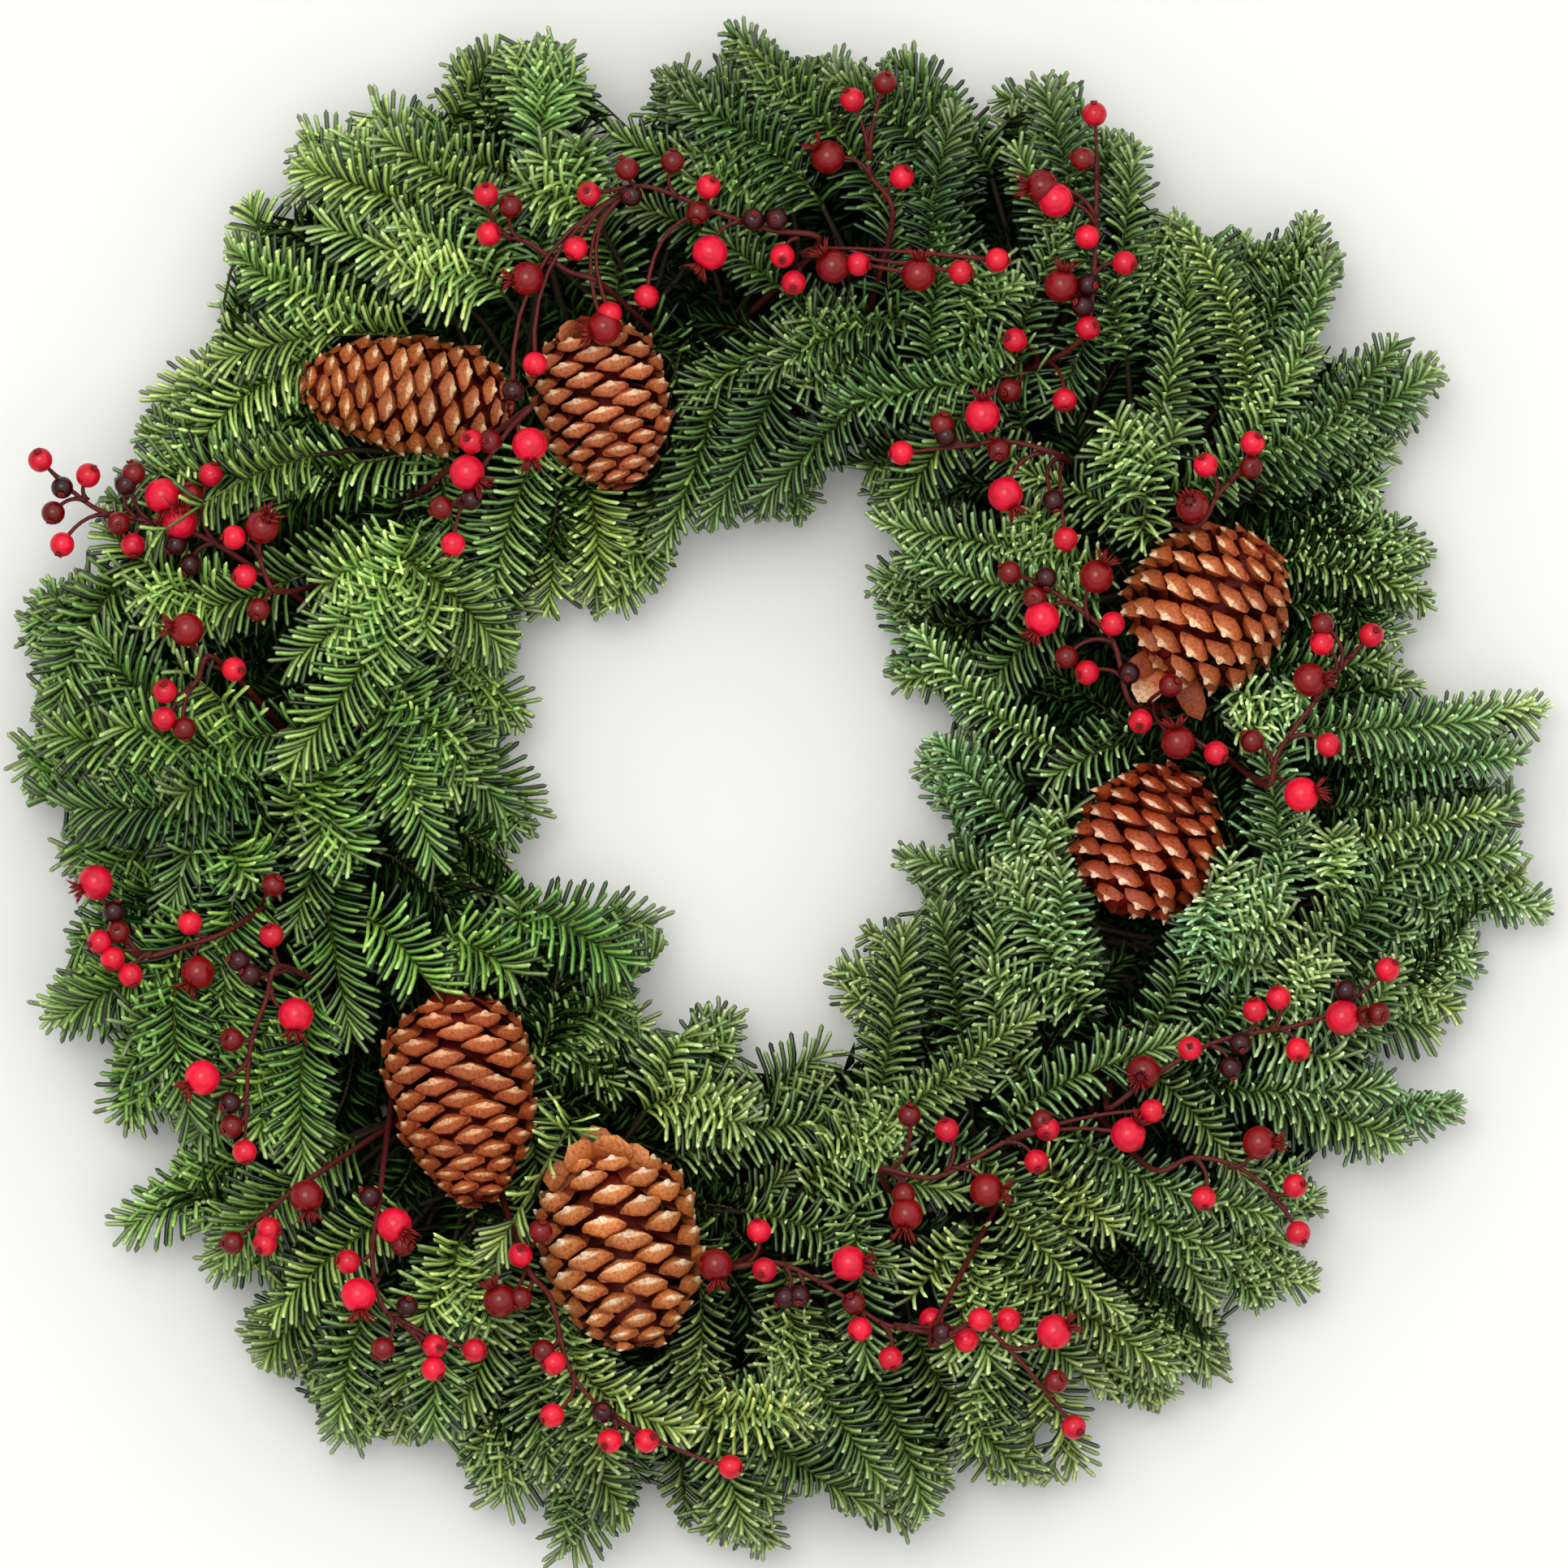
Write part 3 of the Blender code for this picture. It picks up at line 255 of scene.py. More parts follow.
# The edges of the fir in the photograph, traced with the notches between the shoots: the places of
# the outside and of the hole
FIR_EDGES = {
    "outer": (
        "885,28 899,19 924,35 952,44 975,72 1003,58 1060,70 1072,92 1084,60 1103,52 1131,56 1156,86 "
        "1186,116 1212,146 1214,111 1233,88 1265,95 1307,79 1347,100 1335,140 1367,153 1402,160 1416,179 "
        "1407,197 1451,251 1479,279 1498,300 1504,279 1523,274 1547,306 1570,271 1617,250 1640,262 1666,318 "
        "1644,380 1628,416 1600,445 1609,425 1644,420 1691,408 1734,410 1769,427 1793,459 1769,505 1738,552 "
        "1714,599 1708,620 1751,643 1775,679 1779,694 1760,700 1775,734 1773,757 1755,761 1740,804 1743,824 "
        "1769,844 1755,853 1838,857 1877,859 1905,853 1922,873 1908,895 1889,942 1838,971 1812,985 1853,960 "
        "1881,969 1887,1016 1869,1052 1893,1050 1912,1075 1926,1119 1913,1139 1885,1151 1811,1146 1834,1165 "
        "1844,1197 1811,1230 1813,1251 1797,1269 1774,1258 1742,1286 1714,1300 1723,1318 1728,1351 "
        "1746,1341 1802,1344 1818,1367 1762,1406 1725,1430 1672,1441 1612,1445 1637,1462 1644,1488 "
        "1639,1499 1570,1508 1612,1536 1630,1560 1637,1585 1616,1615 1574,1615 1547,1629 1505,1592 "
        "1516,1648 1523,1671 1514,1703 1500,1713 1458,1699 1444,1743 1398,1745 1352,1727 1329,1692 "
        "1311,1715 1325,1771 1348,1780 1352,1803 1329,1827 1301,1776 1306,1748 1274,1752 1269,1776 "
        "1315,1831 1299,1843 1260,1836 1199,1801 1181,1813 1185,1831 1150,1864 1146,1885 1120,1909 "
        "1088,1896 1032,1864 1018,1845 972,1859 953,1873 972,1908 953,1924 911,1910 874,1910 851,1878 "
        "846,1903 832,1869 814,1855 800,1822 786,1851 775,1894 734,1891 717,1909 696,1930 683,1917 668,1870 "
        "670,1836 649,1831 631,1851 606,1844 612,1876 582,1836 550,1801 565,1789 550,1776 503,1789 477,1782 "
        "473,1759 460,1780 443,1789 417,1784 387,1754 383,1735 346,1702 309,1688 297,1660 297,1616 344,1581 "
        "344,1558 320,1572 279,1577 244,1565 253,1526 246,1519 186,1540 151,1542 135,1521 132,1496 149,1475 "
        "176,1447 200,1437 218,1410 200,1377 186,1372 172,1393 151,1396 135,1382 125,1354 132,1312 128,1294 "
        "139,1273 93,1277 51,1259 44,1245 63,1215 67,1196 100,1189 77,1177 74,1150 100,1108 74,1070 63,1056 "
        "84,1005 77,991 32,993 16,974 39,944 9,928 44,898 35,875 44,847 28,828 18,796 18,763 26,733 51,707 "
        "93,698 111,640 114,605 139,575 160,568 155,524 181,499 232,441 256,434 253,416 265,385 270,357 "
        "297,355 274,320 272,274 284,246 295,230 325,232 339,241 353,202 360,160 383,149 418,153 437,165 "
        "446,130 474,111 499,135 516,111 541,97 548,70 562,51 585,39 622,39 632,53 639,44 674,39 699,51 "
        "727,74 739,105 757,139 785,135 797,111 801,88 815,72 845,67 868,105 "
    ),
    "inner": (
        "1012,642 1000,620 1020,597 1045,585 1065,610 1062,630 1080,650 1115,685 1090,685 1065,705 1055,730 "
        "1070,750 1100,797 1085,810 1082,835 1102,850 1155,852 1165,880 1180,900 1150,900 1120,920 1112,950 "
        "1130,985 1152,1000 1172,1010 1160,1050 1135,1035 1105,1035 1092,1060 1115,1080 1135,1090 1135,1125 "
        "1100,1120 1070,1127 1050,1142 1052,1172 1025,1180 1012,1195 1012,1225 1025,1250 1047,1267 "
        "1042,1285 1000,1280 945,1295 930,1310 905,1315 920,1290 925,1255 905,1235 880,1225 860,1235 "
        "845,1265 830,1275 790,1250 785,1230 787,1205 820,1170 822,1140 805,1120 770,1105 710,1115 700,1095 "
        "675,1092 652,1097 647,1055 662,1035 672,1012 660,995 637,970 620,950 617,910 650,905 660,885 "
        "640,860 600,845 622,845 640,805 652,760 675,772 702,760 677,740 705,740 742,772 760,740 805,735 "
        "827,715 832,690 845,660 915,655 960,642 977,660 990,635 "
    ),
}

SEED = 41
RANDOM = np.random.default_rng(SEED)


# Layout

def at(pixel, z):
    """The point over a pixel of the photograph, at height z."""
    return np.array([
        (pixel[0] - RING_CENTRE_PX[0]) * METRES_PER_PX,
        (RING_CENTRE_PX[1] - pixel[1]) * METRES_PER_PX,
        z,
    ])


def on_ring(angle, z, radius=RING_RADIUS):
    return np.array([radius * math.cos(angle), radius * math.sin(angle), z])


def unit(vectors):
    """Vectors of length one, along the last axis."""
    return vectors / np.maximum(np.linalg.norm(vectors, axis=-1, keepdims=True), 1e-12)


def bunch_angle(index):
    return (index + 0.5) * 2 * math.pi / BUNCHES


def bunch_at(point):
    """The index of the bunch whose part of the ring this point lies over."""
    turn = math.atan2(point[1], point[0]) % (2 * math.pi)
    return int(turn * BUNCHES / (2 * math.pi)) % BUNCHES


class Placed:
    """What is in place already: rods with round ends, each with the name of what it belongs to."""

    def __init__(self):
        self.starts = np.empty((0, 3))
        self.ends = np.empty((0, 3))
        self.radii = np.empty(0)
        self.owners = np.empty(0, dtype=object)

    def add(self, owner, points, radius):
        """Adds the rods along a line of points. One point alone is a ball."""
        points = np.atleast_2d(points)
        starts = points if len(points) == 1 else points[:-1]
        ends = points if len(points) == 1 else points[1:]
        self.starts = np.vstack([self.starts, starts])
        self.ends = np.vstack([self.ends, ends])
        self.radii = np.append(self.radii, np.broadcast_to(radius, len(starts)))
        self.owners = np.append(self.owners, [owner] * len(starts))

    def room(self, start, end, radius, besides=()):
        """The clear distance from one rod to the nearest one that isn't owned by a name in besides."""
        others = ~np.isin(self.owners, list(besides)) if besides else np.ones(len(self.radii), bool)
        if not others.any():
            return 1.0
        gaps = rod_distances(start, end, self.starts[others], self.ends[others])
        return float((gaps - self.radii[others]).min() - radius)

    def room_along(self, points, radius, besides=()):
        points = np.atleast_2d(points)
        pairs = zip(points[:-1], points[1:])
        return min(self.room(start, end, radius, besides) for start, end in pairs)


def rod_distances(start, end, starts, ends):
    """The shortest distances from the line start to end to many other lines.

    The nearest places, as shares s of this line and t of the others, are where the gap stands square on both
    lines, kept between the lines' ends."""
    own = end - start
    theirs = ends - starts
    apart = start - starts
    own_square = max(own @ own, 1e-12)
    their_square = np.maximum((theirs * theirs).sum(axis=1), 1e-12)
    both = theirs @ own
    own_apart = apart @ own
    their_apart = (theirs * apart).sum(axis=1)
    spread = own_square * their_square - both**2
    across = np.where(spread > 1e-16, both * their_apart - own_apart * their_square, 0.0)
    s = np.clip(across / np.maximum(spread, 1e-16), 0, 1)
    t = np.clip((both * s + their_apart) / their_square, 0, 1)
    s = np.clip((both * t - own_apart) / own_square, 0, 1)
    gap = apart + s[:, None] * own - t[:, None] * theirs
    return np.linalg.norm(gap, axis=1)


def curve_through(first, middle, last):
    """A smooth line from the first point through the middle one to the last.

    It is the one curve of the second degree through the three points, with the middle one at its share of the
    straight way."""
    before = np.linalg.norm(middle - first)
    after = np.linalg.norm(last - middle)
    knot = before / (before + after)
    u = np.linspace(0, 1, CURVE_POINTS)[:, None]
    return (
        first * (u - knot) * (u - 1) / knot
        + middle * u * (u - 1) / (knot * (knot - 1))
        + last * u * (u - knot) / (1 - knot)
    )


def along(path, distances):
    """The points at these distances along a path."""
    travelled = np.append(0, np.cumsum(np.linalg.norm(np.diff(path, axis=0), axis=1)))
    return np.array([np.interp(distances, travelled, path[:, axis]) for axis in range(3)]).T


def path_length(path):
    return float(np.linalg.norm(np.diff(path, axis=0), axis=1).sum())


def clamp_route(angle):
    """A clamp's wire: up one side, across both rails and up the other, its ends bent over the bundle."""
    over = BUNDLE_RADIUS + SEAT_GAP + CLAMP_WIRE
    corners = [
        (-CLAMP_HALF_GAP, BUNDLE_Z + over),
        (-CLAMP_REACH, CLAMP_BEND_Z),
        (-CLAMP_REACH, CROSS_WIRE_Z),
    ]
    corners += [(-out, z) for out, z in reversed(corners)]
    return np.array([on_ring(angle, z, RING_RADIUS + out) for out, z in corners])


def rail_radius(turn, offset):
    """How far out a rail's middle line is, along the straight steps of the solid rail."""
    step = 2 * math.pi / RAIL_STEPS
    return (RING_RADIUS + offset) * math.cos(step / 2) / math.cos(turn % step - step / 2)


def bundle_line(index):
    """The middle line of a bunch's cut stems, lying along the ring."""
    half = BUNDLE_LENGTH / 2 / RING_RADIUS
    return np.array([on_ring(bunch_angle(index) + part * half, BUNDLE_Z) for part in (-1, 1)])


def bunch_name(index):
    return f"fir_bunch_{index + 1:02d}"


def cone_radius(t, widest, peak):
    """The cone's body radius at t from base 0 to tip 1: a blunt base, widest at peak, a rounded tip.

    On each side it is the widest radius times one less a power of the share of the way from the peak, all to
    a second power: 2.6 and 0.5 toward the base, 2.1 and 0.72 toward the tip."""
    t = np.clip(t, 0, 1)
    before = np.maximum(1 - (np.abs(peak - t) / (peak + 0.05)) ** 2.6, 0) ** 0.5
    after = np.maximum(1 - (np.abs(t - peak) / (1.02 - peak)) ** 2.1, 0) ** 0.72
    return widest * np.where(t < peak, before, after)


def cone_axis(cone):
    """Base point, unit axis, length and body radius of a cone, tipped a little toward the front."""
    base_px, tip_px, radius_px, _ = cone
    radius = radius_px * METRES_PER_PX - 0.7 * SCALE_RISE
    z = CONE_SEAT_Z + radius_px * METRES_PER_PX
    base = at(base_px, z - CONE_TILT / 3)
    tip = at(tip_px, z + CONE_TILT * 2 / 3)
    return base, unit(tip - base), float(np.linalg.norm(tip - base)), radius


def across_axis(axis):
    """Two directions across a cone's axis: one level and one toward the front."""
    side = unit(np.cross(axis, [0, 0, 1]))
    return side, np.cross(side, axis)


def cone_wire_route(cone):
    """A wire looped round the stub of a cone's stalk, with a leg down to the top of a rail."""
    base, axis, _, _ = cone_axis(cone)
    centre = base - axis * (STUB_LENGTH * 0.55)
    side, upward = across_axis(axis)
    wide = (STUB_RADIUS + SEAT_GAP + CONE_WIRE) / math.cos(math.radians(LOOP_STEP / 2))
    turns = [math.radians(-90 + LOOP_STEP * step) for step in range(LOOP_POINTS)]
    loop = [centre + wide * (math.cos(turn) * side + math.sin(turn) * upward) for turn in turns]
    angle = math.atan2(centre[1], centre[0])
    clamp = bunch_angle(bunch_at(centre))
    least = CLAMP_SPACE / RING_RADIUS
    if abs(angle - clamp) < least:
        angle = clamp + math.copysign(least, angle - clamp)
    out = RAIL_OFFSET if np.linalg.norm(centre[:2]) > RING_RADIUS else -RAIL_OFFSET
    foot = on_ring(angle, 2 * RAIL_Z + SEAT_GAP, rail_radius(angle, out))
    knee = foot + np.array([0, 0, WIRE_KNEE_Z])
    return np.array([foot, knee, *loop])


def place_hard_pieces(placed):
    """Records the frame, the cones, their wires and the bundles, in the order of the solids."""
    for offset in (-RAIL_OFFSET, RAIL_OFFSET):
        turns = np.linspace(0, 2 * math.pi, 2 * RAIL_STEPS + 1)
        rail = [on_ring(turn, RAIL_Z, rail_radius(turn, offset)) for turn in turns]
        placed.add("wire_frame", np.array(rail), RAIL_RADIUS)
    for index in range(BUNCHES):
        placed.add("wire_frame", clamp_route(bunch_angle(index)), CLAMP_WIRE)
    for index, cone in enumerate(CONES):
        base, axis, length, radius = cone_axis(cone)
        side, upward = across_axis(axis)
        parts = np.linspace(0.04, 0.97, CONE_ROWS)
        reach = np.maximum(cone_radius(parts, radius, cone[3]) + SCALE_RISE - CONE_ROD_RADIUS, 0.0005)
        for turn in np.linspace(0, 2 * math.pi, CONE_RODS, endpoint=False):
            out = math.cos(turn) * side + math.sin(turn) * upward
            rod = base + axis * (parts * length)[:, None] + out * reach[:, None]
            placed.add(f"pine_cone_{index + 1}", rod, CONE_ROD_RADIUS)
        stub = np.array([base + axis * STUB_LENGTH / 2, base - axis * STUB_LENGTH])
        placed.add(f"pine_cone_{index + 1}", stub, STUB_RADIUS)
    for index, cone in enumerate(CONES):
        placed.add(f"cone_wire_{index + 1}", cone_wire_route(cone), CONE_WIRE)
    for index in range(BUNCHES):
        placed.add(bunch_name(index), bundle_line(index), BUNDLE_RADIUS)


def read_places(text):
    """Pixels of the photograph from their text."""
    return [tuple(int(part) for part in place.split(",")) for place in text.split()]


def read_berries(text):
    """Berries from their letters and places: (kind, pixel)."""
    return [(word[0], read_places(word[1:])[0]) for word in text.split()]


def nearest_on(line, point):
    """The nearest point to this one on a line of points, kept off the line's corners."""
    best = (1e9, None)
    for start, end in zip(line[:-1], line[1:]):
        step = end - start
        part = np.clip((point - start) @ step / (step @ step), 0.05, 0.95)
        spot = start + part * step
        best = min(best, (float(np.linalg.norm(point - spot)), tuple(spot)))
    return np.array(best[1])


def berry_stem(stem_px, usual_z, placed):
    """A stem's line from its root on a bundle, past a knee over the root, bent clear of what is in place."""
    nearest = bunch_at(at(stem_px[0], 0))
    best = (-1.0, None)
    for lift in STEM_LIFTS:
        for bunch in (nearest, nearest + 1, nearest - 1):
            for shift in STEM_ROOT_SHIFTS:
                turn = bunch_angle(bunch) + shift / RING_RADIUS
                root = on_ring(turn, BUNDLE_TOP + SEAT_GAP)
                knee = root + (at(stem_px[0], 0) - on_ring(turn, 0)) * KNEE_LEAN
                knee[2] += KNEE_HEIGHT
                stem = np.array([root, knee, *[at(px, usual_z + lift) for px in stem_px]])
                above_root = stem[0] + (stem[1] - stem[0]) * MEASURED_FROM
                room = placed.room_along([above_root, *stem[1:]], BERRY_STEM_RADIUS)
                if room > STEM_ROOM:
                    return stem
                if room > best[0]:
                    best = (room, stem)
    return best[1]


def berry_place(pixel, radius, stem, name, placed):
    """Where a berry's stalk leaves the stem and the berry's centre, or None where it has no room."""
    for lift in BERRY_LIFTS:
        centre = at(pixel, stem[-1][2] + lift)
        foot = nearest_on(stem[1:], centre)
        berry_room = placed.room(centre, centre, radius, {name})
        if berry_room > BERRY_ROOM and placed.room(foot, centre, STALK_RADIUS, {name}) > BERRY_ROOM:
            return foot, centre
    return None


Berry = namedtuple("Berry", "kind foot centre pixel")
BerrySpray = namedtuple("BerrySpray", "name stem berries")


def place_berry_sprays(placed):
    """Every berry spray's stem with the berries of its solid."""
    sprays = []
    for letter, (stem_px, text) in BERRY_SPRAYS.items():
        name = f"berry_spray_{letter}"
        stem = berry_stem(stem_px, BERRY_SPRAY_Z.get(letter, BERRY_SPRAY_Z_USUAL), placed)
        placed.add(name, stem, BERRY_STEM_RADIUS)
        sprays.append(BerrySpray(name, stem, []))
        small = 0
        for kind, pixel in read_berries(text):
            if kind in "sdv":
                small += 1
                if small % SMALL_BERRY_EVERY != 1:
                    continue
            place_berry(sprays[-1], kind, pixel, placed)
    return sprays


def place_berry(spray, kind, pixel, placed):
    """Gives a spray one more berry, where there is room for it."""
    radius = BERRY_RADII[kind]
    spot = berry_place(pixel, radius, spray.stem, spray.name, placed)
    if spot is None:
        return
    spray.berries.append(Berry(kind, *spot, pixel))
    placed.add(spray.name, spot[1], radius)
    placed.add(spray.name, np.array(spot), STALK_RADIUS)


def place_more_berries(sprays, placed):
    """The small berries that the solids leave out."""
    for spray in sprays:
        letter = spray.name[-1]
        small = 0
        for kind, pixel in read_berries(BERRY_SPRAYS[letter][1]):
            small += kind in "sdv"
            if kind in "sdv" and small % SMALL_BERRY_EVERY != 1:
                place_berry(spray, kind, pixel, placed)
        for kind, pixel in read_berries(MORE_BERRIES.get(letter, "")):
            place_berry(spray, kind, pixel, placed)


def spray_path(layer, start_px, tip_px, placed):
    """A spray's line from a bundle to its tip, bent clear of what is in place, and its bunch."""
    base_z, tip_z = LAYER_Z[layer]
    bunch = bunch_at(at(start_px, 0))
    middle_angle = bunch_angle(bunch)
    wanted = math.atan2(*reversed(at(start_px, 0)[:2]))
    slots = [part * BUNDLE_LENGTH / RING_RADIUS for part in TWIG_SLOTS]
    slots.sort(key=lambda slot: abs((middle_angle + slot - wanted + math.pi) % (2 * math.pi) - math.pi))
    best = None
    for lift in TWIG_LIFTS:
        for slot in slots:
            root = on_ring(middle_angle + slot, TWIG_ROOT_Z)
            whole = curve_through(root, at(start_px, base_z + lift), at(tip_px, tip_z + lift))
            path = along(whole, np.linspace(0, path_length(whole) - NEEDLES_PAST_TWIG, SPRAY_POINTS))
            if path[:, 2].min() < LOWEST_TWIG:
                continue
            room = placed.room_along(path, TWIG_ROOT_RADIUS, {bunch_name(bunch)})
            if best is None or room > best[0]:
                best = (room, path)
            if room > TWIG_ROOM:
                return bunch, path
    return (bunch, best[1]) if best and best[0] > LEAST_TWIG_ROOM else (bunch, None)


def solid_line(layer, path):
    """The points of a spray's line in the solids: two at each row of needles, and some before them."""
    length = path_length(path)
    count = min(MOST_STATIONS[layer], int((length - BARE_TWIG) / STATION_STEP))
    stations = [length - NEEDLE_BASE - STATION_STEP * back for back in range(count)]
    first = min(stations)
    bare = np.linspace(0, first, max(2, 1 + round(first / BARE_STEP)))[:-1]
    needled = [distance for station in stations for distance in (station, station + NEEDLE_BASE)]
    distances = np.array(sorted([*bare, *needled]))
    distances[-1] = length
    return along(path, distances)


# Meshes

def loft_faces(rows, columns):
    """Triangles of a closed skin: a fan from a first point, bands between rows, and a fan to a last point."""
    column = np.arange(columns)
    after = (column + 1) % columns
    last = rows * columns + 1
    first_fan = np.stack([np.zeros(columns, int), 1 + after, 1 + column], axis=1)
    start = 1 + (rows - 1) * columns
    last_fan = np.stack([np.full(columns, last), start + column, start + after], axis=1)
    row = 1 + np.arange(rows - 1)[:, None] * columns
    a, b = row + column, row + after
    lower = np.stack([a, b, b + columns], axis=2).reshape(-1, 3)
    upper = np.stack([a, b + columns, a + columns], axis=2).reshape(-1, 3)
    return np.concatenate([first_fan, lower, upper, last_fan])


def lofts(first, rings, last):
    """Closed skins, one for each item: rings (items, rows, columns, 3) between end points (items, 3)."""
    items, rows, columns, _ = rings.shape
    points = np.concatenate([first[:, None], rings.reshape(items, -1, 3), last[:, None]], axis=1)
    starts = np.arange(items)[:, None, None] * points.shape[1]
    faces = (loft_faces(rows, columns) + starts).reshape(-1, 3)
    points = points.reshape(-1, 3)
    a, b, c = (points[faces[:, corner]] for corner in range(3))
    inside_out = (a * np.cross(b, c)).sum() < 0
    return points, faces[:, ::-1] if inside_out else faces


def ring_marks(colours, shares, columns):
    """What a finish reads at each point of a skin: the item's colour, and the share of the row."""
    items = len(colours)
    repeats = [1] + [columns] * (len(shares) - 2) + [1]
    share = np.repeat(shares, repeats)
    marks = np.empty((items, len(share), 4))
    marks[:, :, :3] = colours[:, None]
    marks[:, :, 3] = share
    return marks.reshape(-1, 4)


def tube_rings(points, radii, sides):
    """Circles carried along a line: the radius times cosine and sine, across the line's direction."""
    ways = unit(np.gradient(points, axis=0))
    reference = np.eye(3)[np.abs(ways).max(axis=0).argmin()]
    side = unit(np.cross(ways, reference))
    other = np.cross(ways, side)
    turns = 2 * math.pi * np.arange(sides) / sides
    circle = np.cos(turns)[None, :, None] * side[:, None] + np.sin(turns)[None, :, None] * other[:, None]
    return points[:, None] + np.broadcast_to(radii, len(points))[:, None, None] * circle


def smooth_line(points, steps):
    """A line through all the points, each stretch a cubic that runs at a point as its neighbours lie."""
    points = np.asarray(points, float)
    ends = np.vstack([2 * points[0] - points[1], points, 2 * points[-1] - points[-2]])
    u = np.linspace(0, 1, steps, endpoint=False)[:, None]
    stretches = []
    for index in range(len(points) - 1):
        a, b, c, d = ends[index:index + 4]
        square, cube = 2 * a - 5 * b + 4 * c - d, 3 * b - a - 3 * c + d
        stretches.append(0.5 * (2 * b + (c - a) * u + square * u**2 + cube * u**3))
    return np.vstack([*stretches, points[-1:]])


class Shape:
    """Triangles gathered for one piece: points and their marks, faces and the finish of each."""

    def __init__(self):
        self.points, self.faces, self.finishes, self.marks = [], [], [], []
        self.count = 0

    def add(self, skin, marks, finish=0):
        points, faces = skin
        self.points.append(points)
        self.faces.append(faces + self.count)
        self.finishes.append(np.full(len(faces), finish))
        self.marks.append(marks)
        self.count += len(points)

    def add_tube(self, points, radii, sides, colours, shares=(0, 1), finish=0):
        """A closed tube. Its colour runs from the first colour to the second, and so does its share."""
        points = np.asarray(points, float)
        radii = np.broadcast_to(radii, len(points))
        rings = tube_rings(points, radii, sides)
        part = np.linspace(0, 1, len(points))
        part = np.repeat(np.array([0, *part, 1]), [1] + [sides] * len(points) + [1])[:, None]
        start, end = (np.array([*colours[which], shares[which]], float) for which in (0, -1))
        way = unit(points[-1] - points[-2])
        skin = lofts(points[:1], rings[None], (points[-1] + way * radii[-1] * 0.5)[None])
        self.add(skin, start + (end - start) * part, finish)

    def piece(self, name, finishes, crease=None):
        """The mesh object of all that was added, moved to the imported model's frame."""
        points = np.vstack(self.points) + TO_MODEL
        faces = np.vstack(self.faces)
        mesh = bpy.data.meshes.new(name)
        mesh.vertices.add(len(points))
        mesh.vertices.foreach_set("co", points.astype(np.float32).ravel())
        mesh.loops.add(3 * len(faces))
        mesh.loops.foreach_set("vertex_index", faces.astype(np.int32).ravel())
        mesh.polygons.add(len(faces))
        mesh.polygons.foreach_set("loop_start", np.arange(0, 3 * len(faces), 3, dtype=np.int32))
        mesh.polygons.foreach_set("material_index", np.concatenate(self.finishes).astype(np.int32))
        mesh.update(calc_edges=True)
        marks = mesh.attributes.new("mark", "FLOAT_COLOR", "POINT")
        marks.data.foreach_set("color", np.vstack(self.marks).astype(np.float32).ravel())
        for finish in finishes:
            mesh.materials.append(finish)
        mesh.shade_smooth()
        if crease:
            mesh.set_sharp_from_angle(angle=crease)
        made = bpy.data.objects.new(name, mesh)
        bpy.context.scene.collection.objects.link(made)
        return made


def put_in_place(piece, node):
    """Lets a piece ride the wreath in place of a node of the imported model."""
    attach(piece, "root")
    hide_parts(node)


# Finishes

def finish(name, roughness, **sockets):
    """A new material, its nodes, its shader, and the mark of each point: a colour and a share."""
    made = bpy.data.materials.new(name)
    made.use_nodes = True
    tree = made.node_tree
    shader = tree.nodes["Principled BSDF"]
    shader.inputs["Roughness"].default_value = roughness
    for socket, value in sockets.items():
        shader.inputs[socket.replace("_", " ")].default_value = value
    mark = tree.nodes.new("ShaderNodeAttribute")
    mark.attribute_name = "mark"
    return made, tree, shader, mark


def ramp(tree, source, stops):
    """Colours by the share along something: stops are (place, colour)."""
    node = tree.nodes.new("ShaderNodeValToRGB")
    while len(node.color_ramp.elements) < len(stops):
        node.color_ramp.elements.new(0.5)
    for element, (place, colour) in zip(node.color_ramp.elements, stops):
        element.position = place
        element.color = (*colour, 1)
    tree.links.new(source, node.inputs["Fac"])
    return node.outputs["Color"]


def multiply(tree, first, second):
    """One colour times another."""
    node = tree.nodes.new("ShaderNodeMix")
    node.data_type = "RGBA"
    node.blend_type = "MULTIPLY"
    node.inputs["Factor"].default_value = 1
    tree.links.new(first, node.inputs["A"])
    tree.links.new(second, node.inputs["B"])
    return node.outputs["Result"]


def noise(tree, scale, detail=3.0):
    """Soft noise over the object's own coordinates."""
    place = tree.nodes.new("ShaderNodeTexCoord").outputs["Object"]
    node = tree.nodes.new("ShaderNodeTexNoise")
    node.inputs["Scale"].default_value = scale
    node.inputs["Detail"].default_value = detail
    tree.links.new(place, node.inputs["Vector"])
    return node.outputs["Fac"]


def bump(tree, shader, height, strength, distance):
    """Fine relief in a shader: height is what rises, and distance is how far in metres."""
    node = tree.nodes.new("ShaderNodeBump")
    node.inputs["Strength"].default_value = strength
    node.inputs["Distance"].default_value = distance
    tree.links.new(height, node.inputs["Height"])
    tree.links.new(node.outputs["Normal"], shader.inputs["Normal"])


